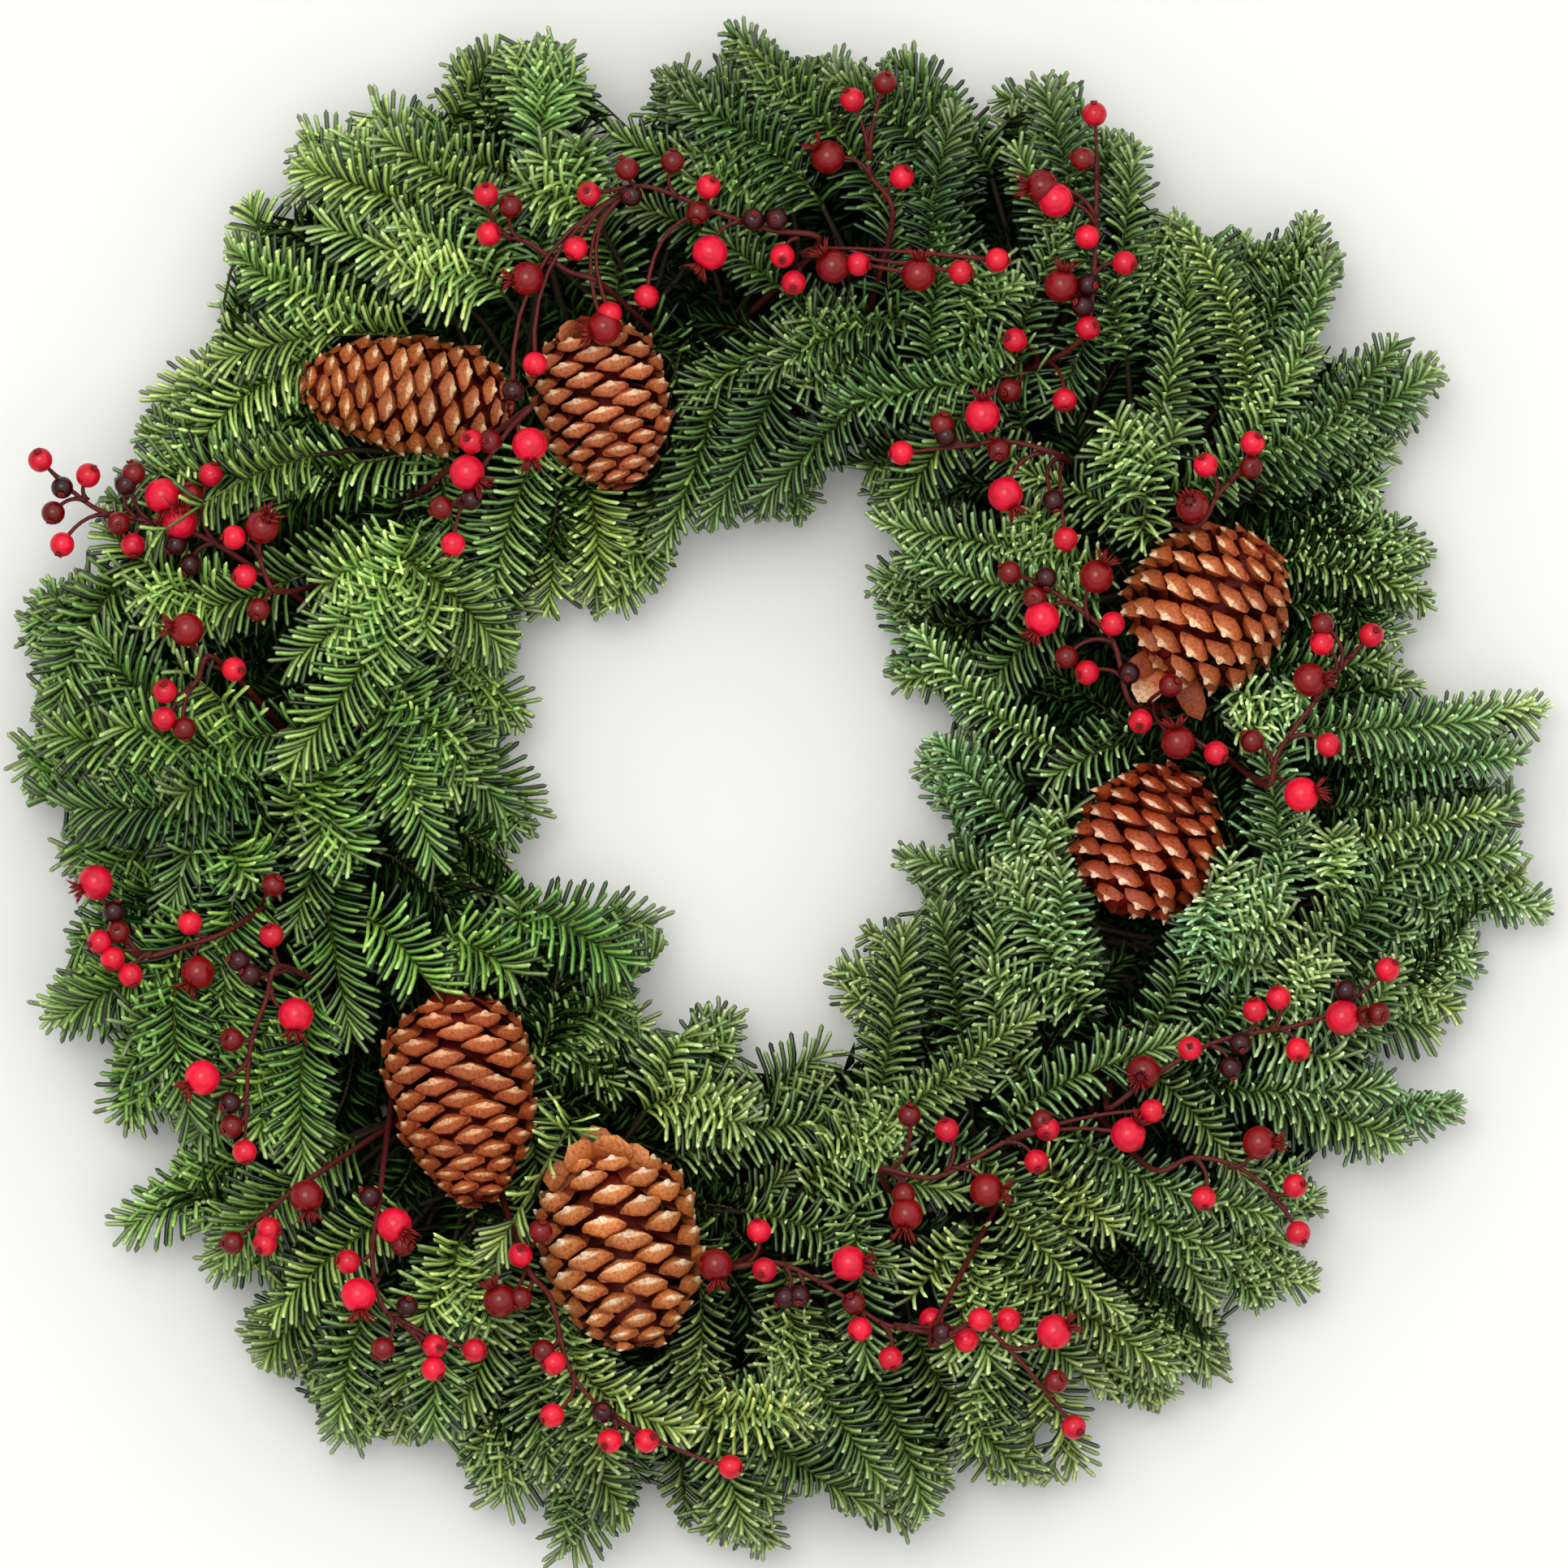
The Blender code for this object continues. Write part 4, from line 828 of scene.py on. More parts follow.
def needle_finish(name, roughness, sheen):
    """Fir needles: their shoot's green, darker at the foot as painted shade among the needles and paler and
    bluer at the blunt tip as a painted highlight, with a waxy sheen.
    """
    made, tree, shader, mark = finish(name, roughness, Specular_IOR_Level=sheen)
    # Painted shade at the foot of each needle and a painted pale, bluish highlight at its tip
    foot_shade_tip_highlight = ramp(tree, mark.outputs["Alpha"], [
        (0.0, (0.48, 0.50, 0.34)), (0.20, (0.60, 0.64, 0.48)), (0.6, (1.0, 1.0, 0.98)),
        (0.86, (1.22, 1.12, 1.40)), (1.0, (1.70, 1.5, 2.1)),
    ])
    patches = ramp(tree, noise(tree, 700), [(0.3, (0.62, 0.66, 0.62)), (0.7, (1.18, 1.15, 1.1))])
    colour = multiply(tree, multiply(tree, mark.outputs["Color"], foot_shade_tip_highlight), patches)
    tree.links.new(colour, shader.inputs["Base Color"])
    return made


def bark_finish():
    """Twig bark, from brown at the cut end to yellow-green at the bud, finely cracked."""
    made, tree, shader, mark = finish("fir_bark", 0.8, Specular_IOR_Level=0.06)
    grain = noise(tree, 1400, 4.0)
    cracks = ramp(tree, grain, [(0.35, (0.55, 0.5, 0.45)), (0.65, (1.15, 1.1, 1.0))])
    tree.links.new(multiply(tree, mark.outputs["Color"], cracks), shader.inputs["Base Color"])
    bump(tree, shader, grain, 0.5, 0.0004)
    return made


def scale_finish(index):
    """Woody cone scales: dark red inside the cone and at the scale edges, partly their own colour and partly
    painted shade in the gaps, warm brown on the face, a pale boss in the middle.
    """
    look = CONE_LOOKS[index]
    made, tree, shader, mark = finish(f"cone_scale_{index + 1}", look.roughness, Specular_IOR_Level=0.22)
    rim = tuple(np.array(look.face) * (0.72, 0.41, 0.23))
    keel = tuple(np.array(look.face) * (1.02, 0.90, 0.80))
    radial = ramp(tree, mark.outputs["Alpha"], [
        (0.0, look.inside), (0.30, look.inside), (0.42, look.edge), (0.56, rim),
        (0.76, keel), (0.93, look.boss), (1.0, look.boss),
    ])
    grain = noise(tree, 700, 6.0)
    streaks = ramp(tree, grain, [
        (0.30, (0.50, 0.38, 0.32)), (0.5, (0.95, 0.92, 0.90)), (0.72, (1.2, 1.2, 1.2)),
    ])
    colour = multiply(tree, multiply(tree, radial, streaks), mark.outputs["Color"])
    tree.links.new(colour, shader.inputs["Base Color"])
    bump(tree, shader, grain, 0.45, 0.0006)
    return made


def berry_finish():
    """Glossy berry skin, blotched a little, with the clear lacquer of the real ones."""
    made, tree, shader, mark = finish(
        "berry_skin", 0.45, Coat_Weight=0.52, Coat_Roughness=0.18, Specular_IOR_Level=0.03,
    )
    blotches = ramp(tree, noise(tree, 260), [(0.35, (0.72, 0.68, 0.68)), (0.6, (1.0, 1.0, 1.0))])
    poles = ramp(tree, mark.outputs["Alpha"], [(0.0, (1, 1, 1)), (0.78, (1, 1, 1)), (1.0, (0.35, 0.22, 0.2))])
    colour = multiply(tree, multiply(tree, mark.outputs["Color"], blotches), poles)
    tree.links.new(colour, shader.inputs["Base Color"])
    bump(tree, shader, noise(tree, 420), 0.12, 0.0006)
    return made


def stem_finish():
    """Burgundy stems and crowns with a dull shine."""
    made, tree, shader, mark = finish("berry_stem", 0.5, Specular_IOR_Level=0.15)
    grain = noise(tree, 800, 3.0)
    shades = ramp(tree, grain, [(0.3, (0.6, 0.55, 0.55)), (0.7, (1.2, 1.15, 1.1))])
    tree.links.new(multiply(tree, mark.outputs["Color"], shades), shader.inputs["Base Color"])
    bump(tree, shader, grain, 0.3, 0.0003)
    return made


def wire_finish(name, roughness):
    """Green lacquered wire, worn a little to the bare metal."""
    made, tree, shader, mark = finish(name, roughness, Metallic=0.4)
    wear = ramp(tree, noise(tree, 300, 5.0), [(0.55, (1, 1, 1)), (0.75, (1.8, 1.6, 1.5))])
    tree.links.new(multiply(tree, mark.outputs["Color"], wear), shader.inputs["Base Color"])
    return made


# Fir

# Which finish of a bunch a face has; the third is a shaded copy of the needle finish, with hardly any shine,
# for the deep needles
NEEDLE, BARK, SHADED_DEEP_NEEDLE = range(3)
# How far from the ring's middle there is fir, least and most, in metres
FIR_REACH = (0.070, 0.365)
# What a shoot of each kind is like: needles to a metre, whether they are fine, how wide they are as a share
# of the usual width, and their painted shade: their colour made darker the deeper they lie in the wreath, and
# lighter on the front shoots
ShootKind = namedtuple("ShootKind", "needles fine wide shade")
SHOOT_KINDS = {
    "outer": ShootKind(1180, True, 1.0, 1.0),
    "inner": ShootKind(1180, True, 1.0, 1.0),
    "edge": ShootKind(1100, True, 1.0, 0.85),
    "front": ShootKind(1180, True, 1.05, 1.25),
    "top": ShootKind(1100, True, 1.0, 0.95),
    "middle": ShootKind(1050, False, 1.2, 0.15),
    "under": ShootKind(1000, False, 1.9, 0.05),
    "mat": ShootKind(620, False, 2.2, 0.05),
}
# Shoots that fill the wreath, level by level: their kind, spacing, heights at the start and at the tip, the
# least and most that both are lifted, their length, how much their headings spread in radians, and how far
# inside the edges their tips stay
Level = namedtuple("Level", "kind spacing start_z tip_z lift reach turn margin")
LEVELS = [
    Level("mat", 0.024, 0.010, 0.011, (-0.001, 0.001), 0.044, 0.8, 0.020),
    Level("under", 0.0275, 0.015, 0.016, (-0.005, 0.005), 0.066, 0.5, 0.020),
    Level("middle", 0.047, 0.029, 0.036, (-0.006, 0.006), 0.076, 0.45, 0.018),
    Level("top", 0.041, 0.038, 0.053, (-0.006, 0.014), 0.076, 0.34, 0.010),
]
# How far from the middle of a cone there is a mat of low shoots, in metres
MAT_REACH = 0.064
# How unevenly the shoots of a level are spread, as a share of their spacing
SPOT_SPREAD = 0.22
# How far round each place the noted sprays give the shoots their way, in metres, and the pull of the ring
FIELD_WIDTH = 0.040
RADIAL_PULL = 0.12
# Shoots are moved in from the edge in steps of this many metres, at most this often
EDGE_STEP = 0.004
EDGE_STEPS = 12
# A shoot's bundle is the one that lies this far behind its start, in metres
BEHIND_START = 0.03
SHOOT_POINTS = 14
# The first of a shoot's points that has to be clear, and the first that has to lie inside the edges
CLEAR_FROM = 3
INSIDE_FROM = 6
# How much shoots differ: in length as a share, in how far they bend sideways, and in how fresh they are
LENGTH_SPREAD = (0.8, 1.2)
SHOOT_SWAY = 0.005
FRESHNESS = (0.1, 1.0)
# How far a shoot is lowered or lifted in turn until it is clear of cones and berries, and the least that
# counts as clear, in metres
SHOOT_DROPS = (0, -0.006, -0.012, -0.018, 0.006)
LEAST_SHOOT_ROOM = 0.0005
LEAST_FORK_ROOM = 0.0003
# The share of a shoot that has to lie inside the edges: of one that fills, and of one at an edge's point
FILL_INSIDE = 0.99
EDGE_INSIDE = 0.9
# The least length without needles at the foot of a shoot and of a side shoot, in metres
LEAST_BARE = 0.004
FORK_BARE = 0.003
# Side shoots: their place as a share of the needled length, and the chance that one is missing there
FORKS = ((0.16, 0.30), (0.42, 0.30), (0.66, 0.65))
LEAST_FORKED = 0.030
LONGEST_FORK = 0.052
FORK_DEGREES = (36, 50)
FORK_CLIMB = (-0.004, 0.003)
# What is tried in turn of a side shoot's length, until it is clear
FORK_SHARES = (1, 0.75, 0.5)
GOLDEN_ANGLE = math.radians(137.5)
# Powers of the lightness for red, green and blue, so that needles darker by tone and by painted shade are a
# purer green
DARK_HUE = np.array([1.25, 1.0, 1.25])
# Deep needles stay this far away from the edge of the fir, in metres, tried in this many ways round
NEAR_EDGE = 0.011
WAYS_ROUND = 6
NEEDLE_LONG = 0.0262
NEEDLE_SHORT = 0.0150
NEEDLE_WIDE = 0.0022
NEEDLE_NARROW = 0.0018
NEEDLE_THICKNESS = 0.0011
FEWEST_NEEDLES = 6
SPARSER_WHEN_FLAT = 0.28
# Where the rows of points are along a fine needle and a plain one, as shares
FINE_CUTS = np.array([0.16, 0.50, 0.93])
PLAIN_CUTS = np.array([0.45])
# Where along a needle its place is tested, and what is left of its length when its end lies over the edge,
# or its second place too
TESTED_AT = np.array([0.35, 0.7, 1.0])
CUT_AT_SECOND = 0.72
CUT_AT_FIRST = 0.4
# How far needles keep from a berry, and from a berry and a stem as seen from above, in metres
BERRY_CLEAR = 0.0008
BERRY_SHOWN = 0.0012
STEM_SHOWN = 0.0020
# The share of the needles in front of a berry, a stem and a cone that are left out
BERRY_CLEARED = 0.95
STEM_CLEARED = 0.75
CONE_CLEARED = 0.97
# What part of a cone's radius needles stay out of, inside and as seen from above
CONE_CLEAR = 0.93
CONE_SHOWN = 0.90
# The stretches of a cone that the shoots keep clear of, as shares of its length
CONE_STRETCHES = ((0.1, 0.35), (0.35, 0.65), (0.65, 0.9))
SHOOT_ROWS = 6
TWIG_BUD_SHARE = 0.55
# How far the fine twigs of the noted sprays run on past the solid ones, in metres
TWIG_PAST_SOLID = 0.006
# What is left of a noted spray's needle that would stand out over the edge, as a share
SHORTENED = 0.5
# The share of its needles that a fine shoot, or a plain one, must keep to be there at all, and a noted spray
LEAST_NEEDLES = {True: 0.5, False: 0.2}
LEAST_OF_NOTED = 0.36
# How far the bare foot of a noted spray reaches under the place where the photograph first shows it
HIDDEN_FOOT = 0.018
# How far inside the edges the tip of an edge's shoot and of a side shoot stays
EDGE_MARGIN = 0.009
# Shoots at the points of the edges: how sharp a corner counts, their length, spacing, height and its spread
EDGE_SHARPNESS = 0.55
EDGE_REACH = 0.050
EDGE_SPACING = 0.014
EDGE_TIP_Z = 0.022
EDGE_FALL = 0.004
EDGE_LIFT = (-0.006, 0.006)
# How far to both sides of a corner it is tested which side is fir, in metres
CORNER_STEP = 0.003
# Sprays over gaps that the levels leave: start, tip, the heights of both, and the kind
CLOSING_SPRAYS = [
    ((462, 1128), (546, 1234), (0.056, 0.066), "front"),
    ((556, 1146), (626, 1196), (0.050, 0.056), "front"),
    ((1404, 915), (1300, 955), (0.034, 0.043), "top"),
    ((1556, 1186), (1652, 1104), (0.034, 0.042), "top"),
    ((1352, 392), (1302, 498), (0.034, 0.042), "top"),
    ((1308, 768), (1222, 842), (0.034, 0.042), "top"),
]
CLOSING_SWAY = 0.003
CLOSING_FRESH = 0.6

# Greens round the wreath by angle in degrees, counted from the right over the top
GREEN_ROUND = [
    (0, (0.390, 0.620, 0.222)), (20, (0.276, 0.450, 0.136)), (45, (0.214, 0.358, 0.094)),
    (75, (0.094, 0.196, 0.041)), (100, (0.108, 0.224, 0.043)), (128, (0.425, 0.635, 0.156)),
    (150, (0.262, 0.440, 0.088)), (180, (0.124, 0.266, 0.040)), (205, (0.160, 0.335, 0.046)),
    (228, (0.236, 0.385, 0.080)), (255, (0.236, 0.360, 0.094)), (300, (0.276, 0.410, 0.110)),
    (335, (0.232, 0.386, 0.133)),
]
# How red, green and blue differ between warmer and colder shoots
WARMER = np.array([0.06, 0, -0.08])
# The pale green of the youngest needles, at the tips of shoots
FRESH_GREEN = np.array([0.40, 0.50, 0.19])
TWIG_BROWN = np.array([0.022, 0.017, 0.009])
TWIG_GREEN = np.array([0.16, 0.20, 0.055])

# A shoot: its bunch, its line, its length without needles, its kind, how fresh its tip is, and whether it is
# one of the sprays of the solids
Shoot = namedtuple("Shoot", "bunch path bare kind fresh noted")

EDGES = [np.array([at(pixel, 0)[:2] for pixel in read_places(edge)]) for edge in FIR_EDGES.values()]


def within_edges(points):
    """True for points between the edges: a level line from there crosses them an odd number of times."""
    x, y = points[:, :1], points[:, 1:2]
    odd = np.zeros(len(points), bool)
    for corners in EDGES:
        after = np.roll(corners, -1, axis=0)
        rise = after[:, 1] - corners[:, 1]
        rise = np.where(rise == 0, 1e-12, rise)
        crosses = (corners[:, 1] > y) != (after[:, 1] > y)
        meets = corners[:, 0] + (y - corners[:, 1]) / rise * (after[:, 0] - corners[:, 0])
        odd ^= (crosses & (x < meets)).sum(axis=1) % 2 == 1
    return odd


def near_edge(points):
    """The share of the places round each point, a little off, that lie outside the edges."""
    turns = np.arange(WAYS_ROUND) * 2 * math.pi / WAYS_ROUND
    around = np.stack([np.cos(turns), np.sin(turns)], axis=1) * NEAR_EDGE
    return np.mean([~within_edges(points + step) for step in around], axis=0)


def headings_at(points, mids, ways):
    """The way that the noted sprays near each point run, with a weak pull away from the ring.

    Each spray counts by a bell of its distance."""
    apart = np.linalg.norm(points[:, None, :2] - mids[None, :, :2], axis=2)
    weight = np.exp(-((apart / FIELD_WIDTH) ** 2) / 2)
    field = (weight[:, :, None] * ways[None]).sum(axis=1)
    radial = unit(points[:, :2])
    side = np.sign(np.hypot(points[:, 0], points[:, 1]) - RING_RADIUS)[:, None]
    return unit(field[:, :2] + RADIAL_PULL * radial * side)


def fill_spots(level):
    """Where the shoots of a level are: rows round the wreath at equal spacing, each spot moved a little."""
    spots = []
    for radius in np.arange(*FIR_REACH, level.spacing):
        count = max(int(2 * math.pi * radius / level.spacing), 1)
        turns = 2 * math.pi * (np.arange(count) + RANDOM.random()) / count
        turns += RANDOM.normal(0, SPOT_SPREAD, count) * level.spacing / radius
        radii = radius + RANDOM.normal(0, SPOT_SPREAD, count) * level.spacing
        spots.append(np.stack([radii * np.cos(turns), radii * np.sin(turns)], axis=1))
    spots = np.vstack(spots)
    if level.kind == "mat":
        middles = np.array([base + axis * length / 2 for base, axis, length, _ in map(cone_axis, CONES)])
        apart = np.linalg.norm(spots[:, None] - middles[None, :, :2], axis=2)
        spots = spots[apart.min(axis=1) < MAT_REACH]
    return spots[within_edges(spots)]


def inside_edges(start, tip, margin):
    """The start and tip moved toward the ring together until the tip is well inside the wreath's outline."""
    for _ in range(EDGE_STEPS):
        outward = unit(tip[:2]) * np.sign(np.hypot(*tip[:2]) - RING_RADIUS)
        if within_edges((tip[:2] + outward * margin)[None])[0]:
            break
        start[:2] -= EDGE_STEP * outward
        tip[:2] -= EDGE_STEP * outward
    return start, tip


def bent_path(root, start, tip, sway):
    """A shoot's line from its root through its start to its tip, swayed sideways by a half wave."""
    path = curve_through(root, start, tip)
    path = along(path, np.linspace(0, path_length(path), SHOOT_POINTS))
    across = unit(np.cross(tip - start, [0, 0, 1.0]))
    path += across * (sway * np.sin(np.linspace(0, math.pi, len(path))))[:, None]
    path[:, 2] = np.maximum(path[:, 2], LOWEST_TWIG)
    return path


def twig_root(bunch, slot):
    """Where the twig in one of a bundle's slots starts."""
    return on_ring(bunch_angle(bunch) + TWIG_SLOTS[slot] * BUNDLE_LENGTH / RING_RADIUS, TWIG_ROOT_Z)


def share_inside(path):
    """The share of a shoot's outer points that lie inside the edges."""
    return within_edges(path[INSIDE_FROM:, :2]).mean()


def shoot_room(path, obstacles):
    """The clear distance round a shoot past its root."""
    return obstacles.room_along(path[CLEAR_FROM:], TWIG_TIP_RADIUS)


def fill_shoots(level, obstacles):
    """The shoots of one level, each from a bundle near it, lifted or lowered clear of cones and berries."""
    noted = [pair for layer in SPRAYS.values() for pair in layer]
    starts = np.array([at(start_px, 0) for start_px, _ in noted])
    tips = np.array([at(tip_px, 0) for _, tip_px in noted])
    spots = fill_spots(level)
    headings = headings_at(spots, (starts + tips) / 2, unit(tips - starts))
    shoots = []
    for spot, heading in zip(spots, headings):
        turn = RANDOM.normal(0, level.turn)
        reach = level.reach * RANDOM.uniform(*LENGTH_SPREAD)
        lift = RANDOM.uniform(*level.lift)
        sway = RANDOM.normal(0, SHOOT_SWAY)
        fresh = RANDOM.uniform(*FRESHNESS)
        way = np.array([
            heading[0] * math.cos(turn) - heading[1] * math.sin(turn),
            heading[0] * math.sin(turn) + heading[1] * math.cos(turn), 0,
        ])
        start = np.array([*spot, level.start_z + lift]) - way * reach / 2
        tip = np.array([*spot, level.tip_z + lift]) + way * reach / 2
        start, tip = inside_edges(start, tip, level.margin)
        bunch = bunch_at(start - way * BEHIND_START)
        root = twig_root(bunch, RANDOM.integers(len(TWIG_SLOTS)))
        for drop in SHOOT_DROPS:
            moved = np.array([0, 0, drop])
            path = bent_path(root, start + moved, tip + moved, sway)
            if share_inside(path) < FILL_INSIDE:
                break
            if shoot_room(path, obstacles) > LEAST_SHOOT_ROOM:
                bare = max(path_length(path) - reach * 1.05, LEAST_BARE)
                shoots.append(Shoot(bunch, path, bare, level.kind, fresh, False))
                break
    return shoots


def edge_shoots(obstacles):
    """Short shoots that run out into the points of the traced edges.

    A corner points outward where the way to it less the way on from it leads out of the fir."""
    shoots = []
    for corners in EDGES:
        before = unit(corners - np.roll(corners, 1, axis=0))
        after = unit(np.roll(corners, -1, axis=0) - corners)
        outward = unit(before - after)
        sharp = np.linalg.norm(before - after, axis=1) > EDGE_SHARPNESS
        step = outward * CORNER_STEP
        sharp &= within_edges(corners - step) & ~within_edges(corners + step)
        for corner, way in zip(corners[sharp], outward[sharp]):
            lift = RANDOM.uniform(*EDGE_LIFT)
            tip = np.array([*(corner - way * EDGE_MARGIN), EDGE_TIP_Z + lift])
            start = np.array([*(tip[:2] - way * EDGE_REACH), EDGE_TIP_Z + EDGE_FALL + lift])
            bunch = bunch_at(start - np.array([*way, 0]) * BEHIND_START)
            root = twig_root(bunch, len(shoots) % len(TWIG_SLOTS))
            path = bent_path(root, start, tip, 0)
            spaced = all(np.linalg.norm(tip - other.path[-1]) > EDGE_SPACING for other in shoots)
            inside = share_inside(path) > EDGE_INSIDE
            if spaced and inside and shoot_room(path, obstacles) > LEAST_SHOOT_ROOM:
                bare = max(path_length(path) - EDGE_REACH, LEAST_BARE)
                shoots.append(Shoot(bunch, path, bare, "edge", 0.5, False))
    return shoots


def closing_shoots():
    """The sprays that close gaps between the others, each from the bundle under its start."""
    shoots = []
    for start_px, tip_px, (start_z, tip_z), kind in CLOSING_SPRAYS:
        start = at(start_px, start_z)
        tip = at(tip_px, tip_z)
        bunch = bunch_at(start)
        path = bent_path(on_ring(bunch_angle(bunch), TWIG_ROOT_Z), start, tip, CLOSING_SWAY)
        bare = max(path_length(path) - np.linalg.norm(tip - start) * 1.1, LEAST_BARE)
        shoots.append(Shoot(bunch, path, bare, kind, CLOSING_FRESH, False))
    return shoots


def noted_shoots(placed):
    """The sprays of the solids, on the same lines, each with a bud past the end of the solid twig."""
    shoots = []
    for layer in ("outer", "inner", "front"):
        for start_px, tip_px in SPRAYS[layer]:
            bunch, path = spray_path(layer, start_px, tip_px, placed)
            if path is None:
                continue
            shown = np.linalg.norm(at(tip_px, 0) - at(start_px, 0)) - NEEDLES_PAST_TWIG
            bare = max(path_length(path) - shown - HIDDEN_FOOT, LEAST_BARE)
            bud = path[-1] + unit(path[-1] - path[-2]) * TWIG_PAST_SOLID
            shoots.append(Shoot(bunch, np.vstack([path, bud]), bare, layer, 1.0, True))
            line = solid_line(layer, path)
            placed.add(bunch_name(bunch), line[:2], TWIG_ROOT_RADIUS)
            placed.add(f"{bunch_name(bunch)}_{len(shoots)}", line[1:], TWIG_ROOT_RADIUS)
    return shoots


def side_shoots(shoots, obstacles):
    """Pairs of short shoots that fork from a spray, shorter toward its tip, and bend back along it."""
    made = []
    for shoot in shoots:
        length = path_length(shoot.path)
        shown = length - shoot.bare
        if shown < LEAST_FORKED:
            continue
        for part, missing in FORKS:
            for hand in (-1, 1):
                if RANDOM.random() < missing:
                    continue
                distance = shoot.bare + (part + RANDOM.uniform(-0.05, 0.05)) * shown
                base, ahead = along(shoot.path, np.array([distance, distance + 0.004]))
                way = unit(ahead - base)
                side = unit(np.cross([0, 0, 1.0], way))
                fork = math.radians(RANDOM.uniform(*FORK_DEGREES))
                reach = min(0.62 * (1 - part) * shown + 0.012, LONGEST_FORK) * RANDOM.uniform(0.85, 1.1)
                climb = RANDOM.uniform(*FORK_CLIMB)
                out = way * math.cos(fork) + side * hand * math.sin(fork)
                steps = np.linspace(0, 1, 6)[:, None]
                for share in FORK_SHARES:
                    path = base + share * reach * (out * steps + (way - out) * 0.22 * steps**2)
                    path[:, 2] = np.maximum(path[:, 2] + climb * steps[:, 0], LOWEST_TWIG)
                    ahead = path[-1] + unit(path[-1] - path[-2]) * EDGE_MARGIN
                    clear = obstacles.room_along(path, TWIG_TIP_RADIUS) > LEAST_FORK_ROOM
                    if clear and within_edges(ahead[None, :2])[0]:
                        made.append(Shoot(shoot.bunch, path, FORK_BARE, shoot.kind, 1.0, False))
                        break
    return made


def flatness_at(angle):
    """How flat the needles lie: comb-like on the left, swept up like a brush on the right."""
    return 0.65 - 0.35 * math.cos(angle)


def green_by_angle(angle):
    """The green at an angle round the wreath, between the two nearest of the list."""
    places, greens = zip(*GREEN_ROUND)
    greens = np.array(greens)
    turn = math.degrees(angle) % 360
    return np.array([np.interp(turn, places, greens[:, channel], period=360) for channel in range(3)])


def needle_frames(shoot, distances):
    """Places at distances along a shoot, and at each the shoot's way, a level way across it and upward."""
    ahead = np.minimum(distances + 0.003, path_length(shoot.path))
    axis = unit(along(shoot.path, ahead) - along(shoot.path, ahead - 0.006))
    side = unit(np.cross([0, 0, 1.0], axis))
    return along(shoot.path, distances), axis, side, np.cross(axis, side)


def needle_colours(shoot, angle, part, turn):
    """The wreath's green at this angle, darkened by the shoot's painted shade for its depth, with painted light
    on the needles above the twig and painted shade on those below, and fresh toward the bud.

    Part is the share of the way to the bud, and turn is the needle's turn round the shoot."""
    shade = SHOOT_KINDS[shoot.kind].shade
    lightness = RANDOM.uniform(0.58, 1.36)
    tone = green_by_angle(angle) * (shade * lightness) ** DARK_HUE
    tone = tone * (1 + WARMER * RANDOM.normal())
    young = np.clip((part - 0.6) / 0.4, 0, 1) ** 1.6 * shoot.fresh * 0.40
    # Painted light on the needles above the shoot's twig and painted shade on those below it
    upper_light_lower_shade = 0.60 + 0.57 * np.sin(turn)
    colours = tone * (RANDOM.uniform(0.80, 1.15, len(part)) * upper_light_lower_shade)[:, None] ** DARK_HUE
    return colours + (FRESH_GREEN * min(shade, 1) - colours) * young[:, None]


def shoot_needles(shoot):
    """A shoot's needles: root, first and last direction, flat side, length, colour and width of each.

    They stand on a spiral of golden angles. A needle's direction is the shoot's way times the cosine of its
    lean and a way across it times the sine. The way across is the turn's cosine sideways and its sine upward,
    drawn out sideways where the needles lie flat. The lean gets less by the fourth power of the share of the
    way to the bud, and so does the length."""
    kind = SHOOT_KINDS[shoot.kind]
    shown = path_length(shoot.path) - shoot.bare
    middle = shoot.path[len(shoot.path) // 2]
    angle = math.atan2(middle[1], middle[0])
    flat = np.clip(flatness_at(angle) + RANDOM.normal(0, 0.15), 0, 1)
    count = max(int(shown * kind.needles * (1 - SPARSER_WHEN_FLAT * flat)), FEWEST_NEEDLES)
    step = np.arange(count)
    part = (step + 0.6) / count
    roots, axis, side, upward = needle_frames(shoot, shoot.bare + shown * part)
    turn = step * GOLDEN_ANGLE + RANDOM.normal(0, 0.08, count)
    lean = np.radians(78 - 10 * flat - 42 * part**4 + RANDOM.normal(0, 3.5, count))
    sideways = np.sign(np.cos(turn)) * np.abs(np.cos(turn)) ** (1 - 0.65 * flat)
    height = np.sin(turn) * (0.75 - 0.50 * flat) + 0.40 - 0.18 * flat
    across = unit(side * sideways[:, None] * 1.1 + upward * height[:, None])
    roots = roots + upward * (0.0007 + 0.0005 * np.sin(turn))[:, None] - side * (0.0005 * sideways)[:, None]
    first = axis * np.cos(lean * 0.4)[:, None] + across * np.sin(lean * 0.4)[:, None]
    bend = (0.34 - 0.26 * flat) + RANDOM.normal(0, 0.05, count)
    last = axis * np.cos(lean)[:, None] + across * np.sin(lean)[:, None] + upward * bend[:, None]
    last = unit(last)
    size = NEEDLE_SHORT + (NEEDLE_LONG - NEEDLE_SHORT) * flat
    size = size * RANDOM.uniform(0.90, 1.06)
    size = size * (1 - 0.30 * part**4 - 0.2 * np.maximum(np.sin(turn), 0)) * RANDOM.uniform(0.92, 1.06, count)
    flat_side = unit(upward + 0.5 * across + np.array([0, 0, 0.4]))
    colours = needle_colours(shoot, angle, part, turn)
    wide = np.full(count, kind.wide * (NEEDLE_NARROW + (NEEDLE_WIDE - NEEDLE_NARROW) * flat))
    return roots, first, last, flat_side, size, colours, wide


def level_distance(apart):
    """The distance as seen from above."""
    return np.hypot(apart[:, :, 0], apart[:, :, 1])


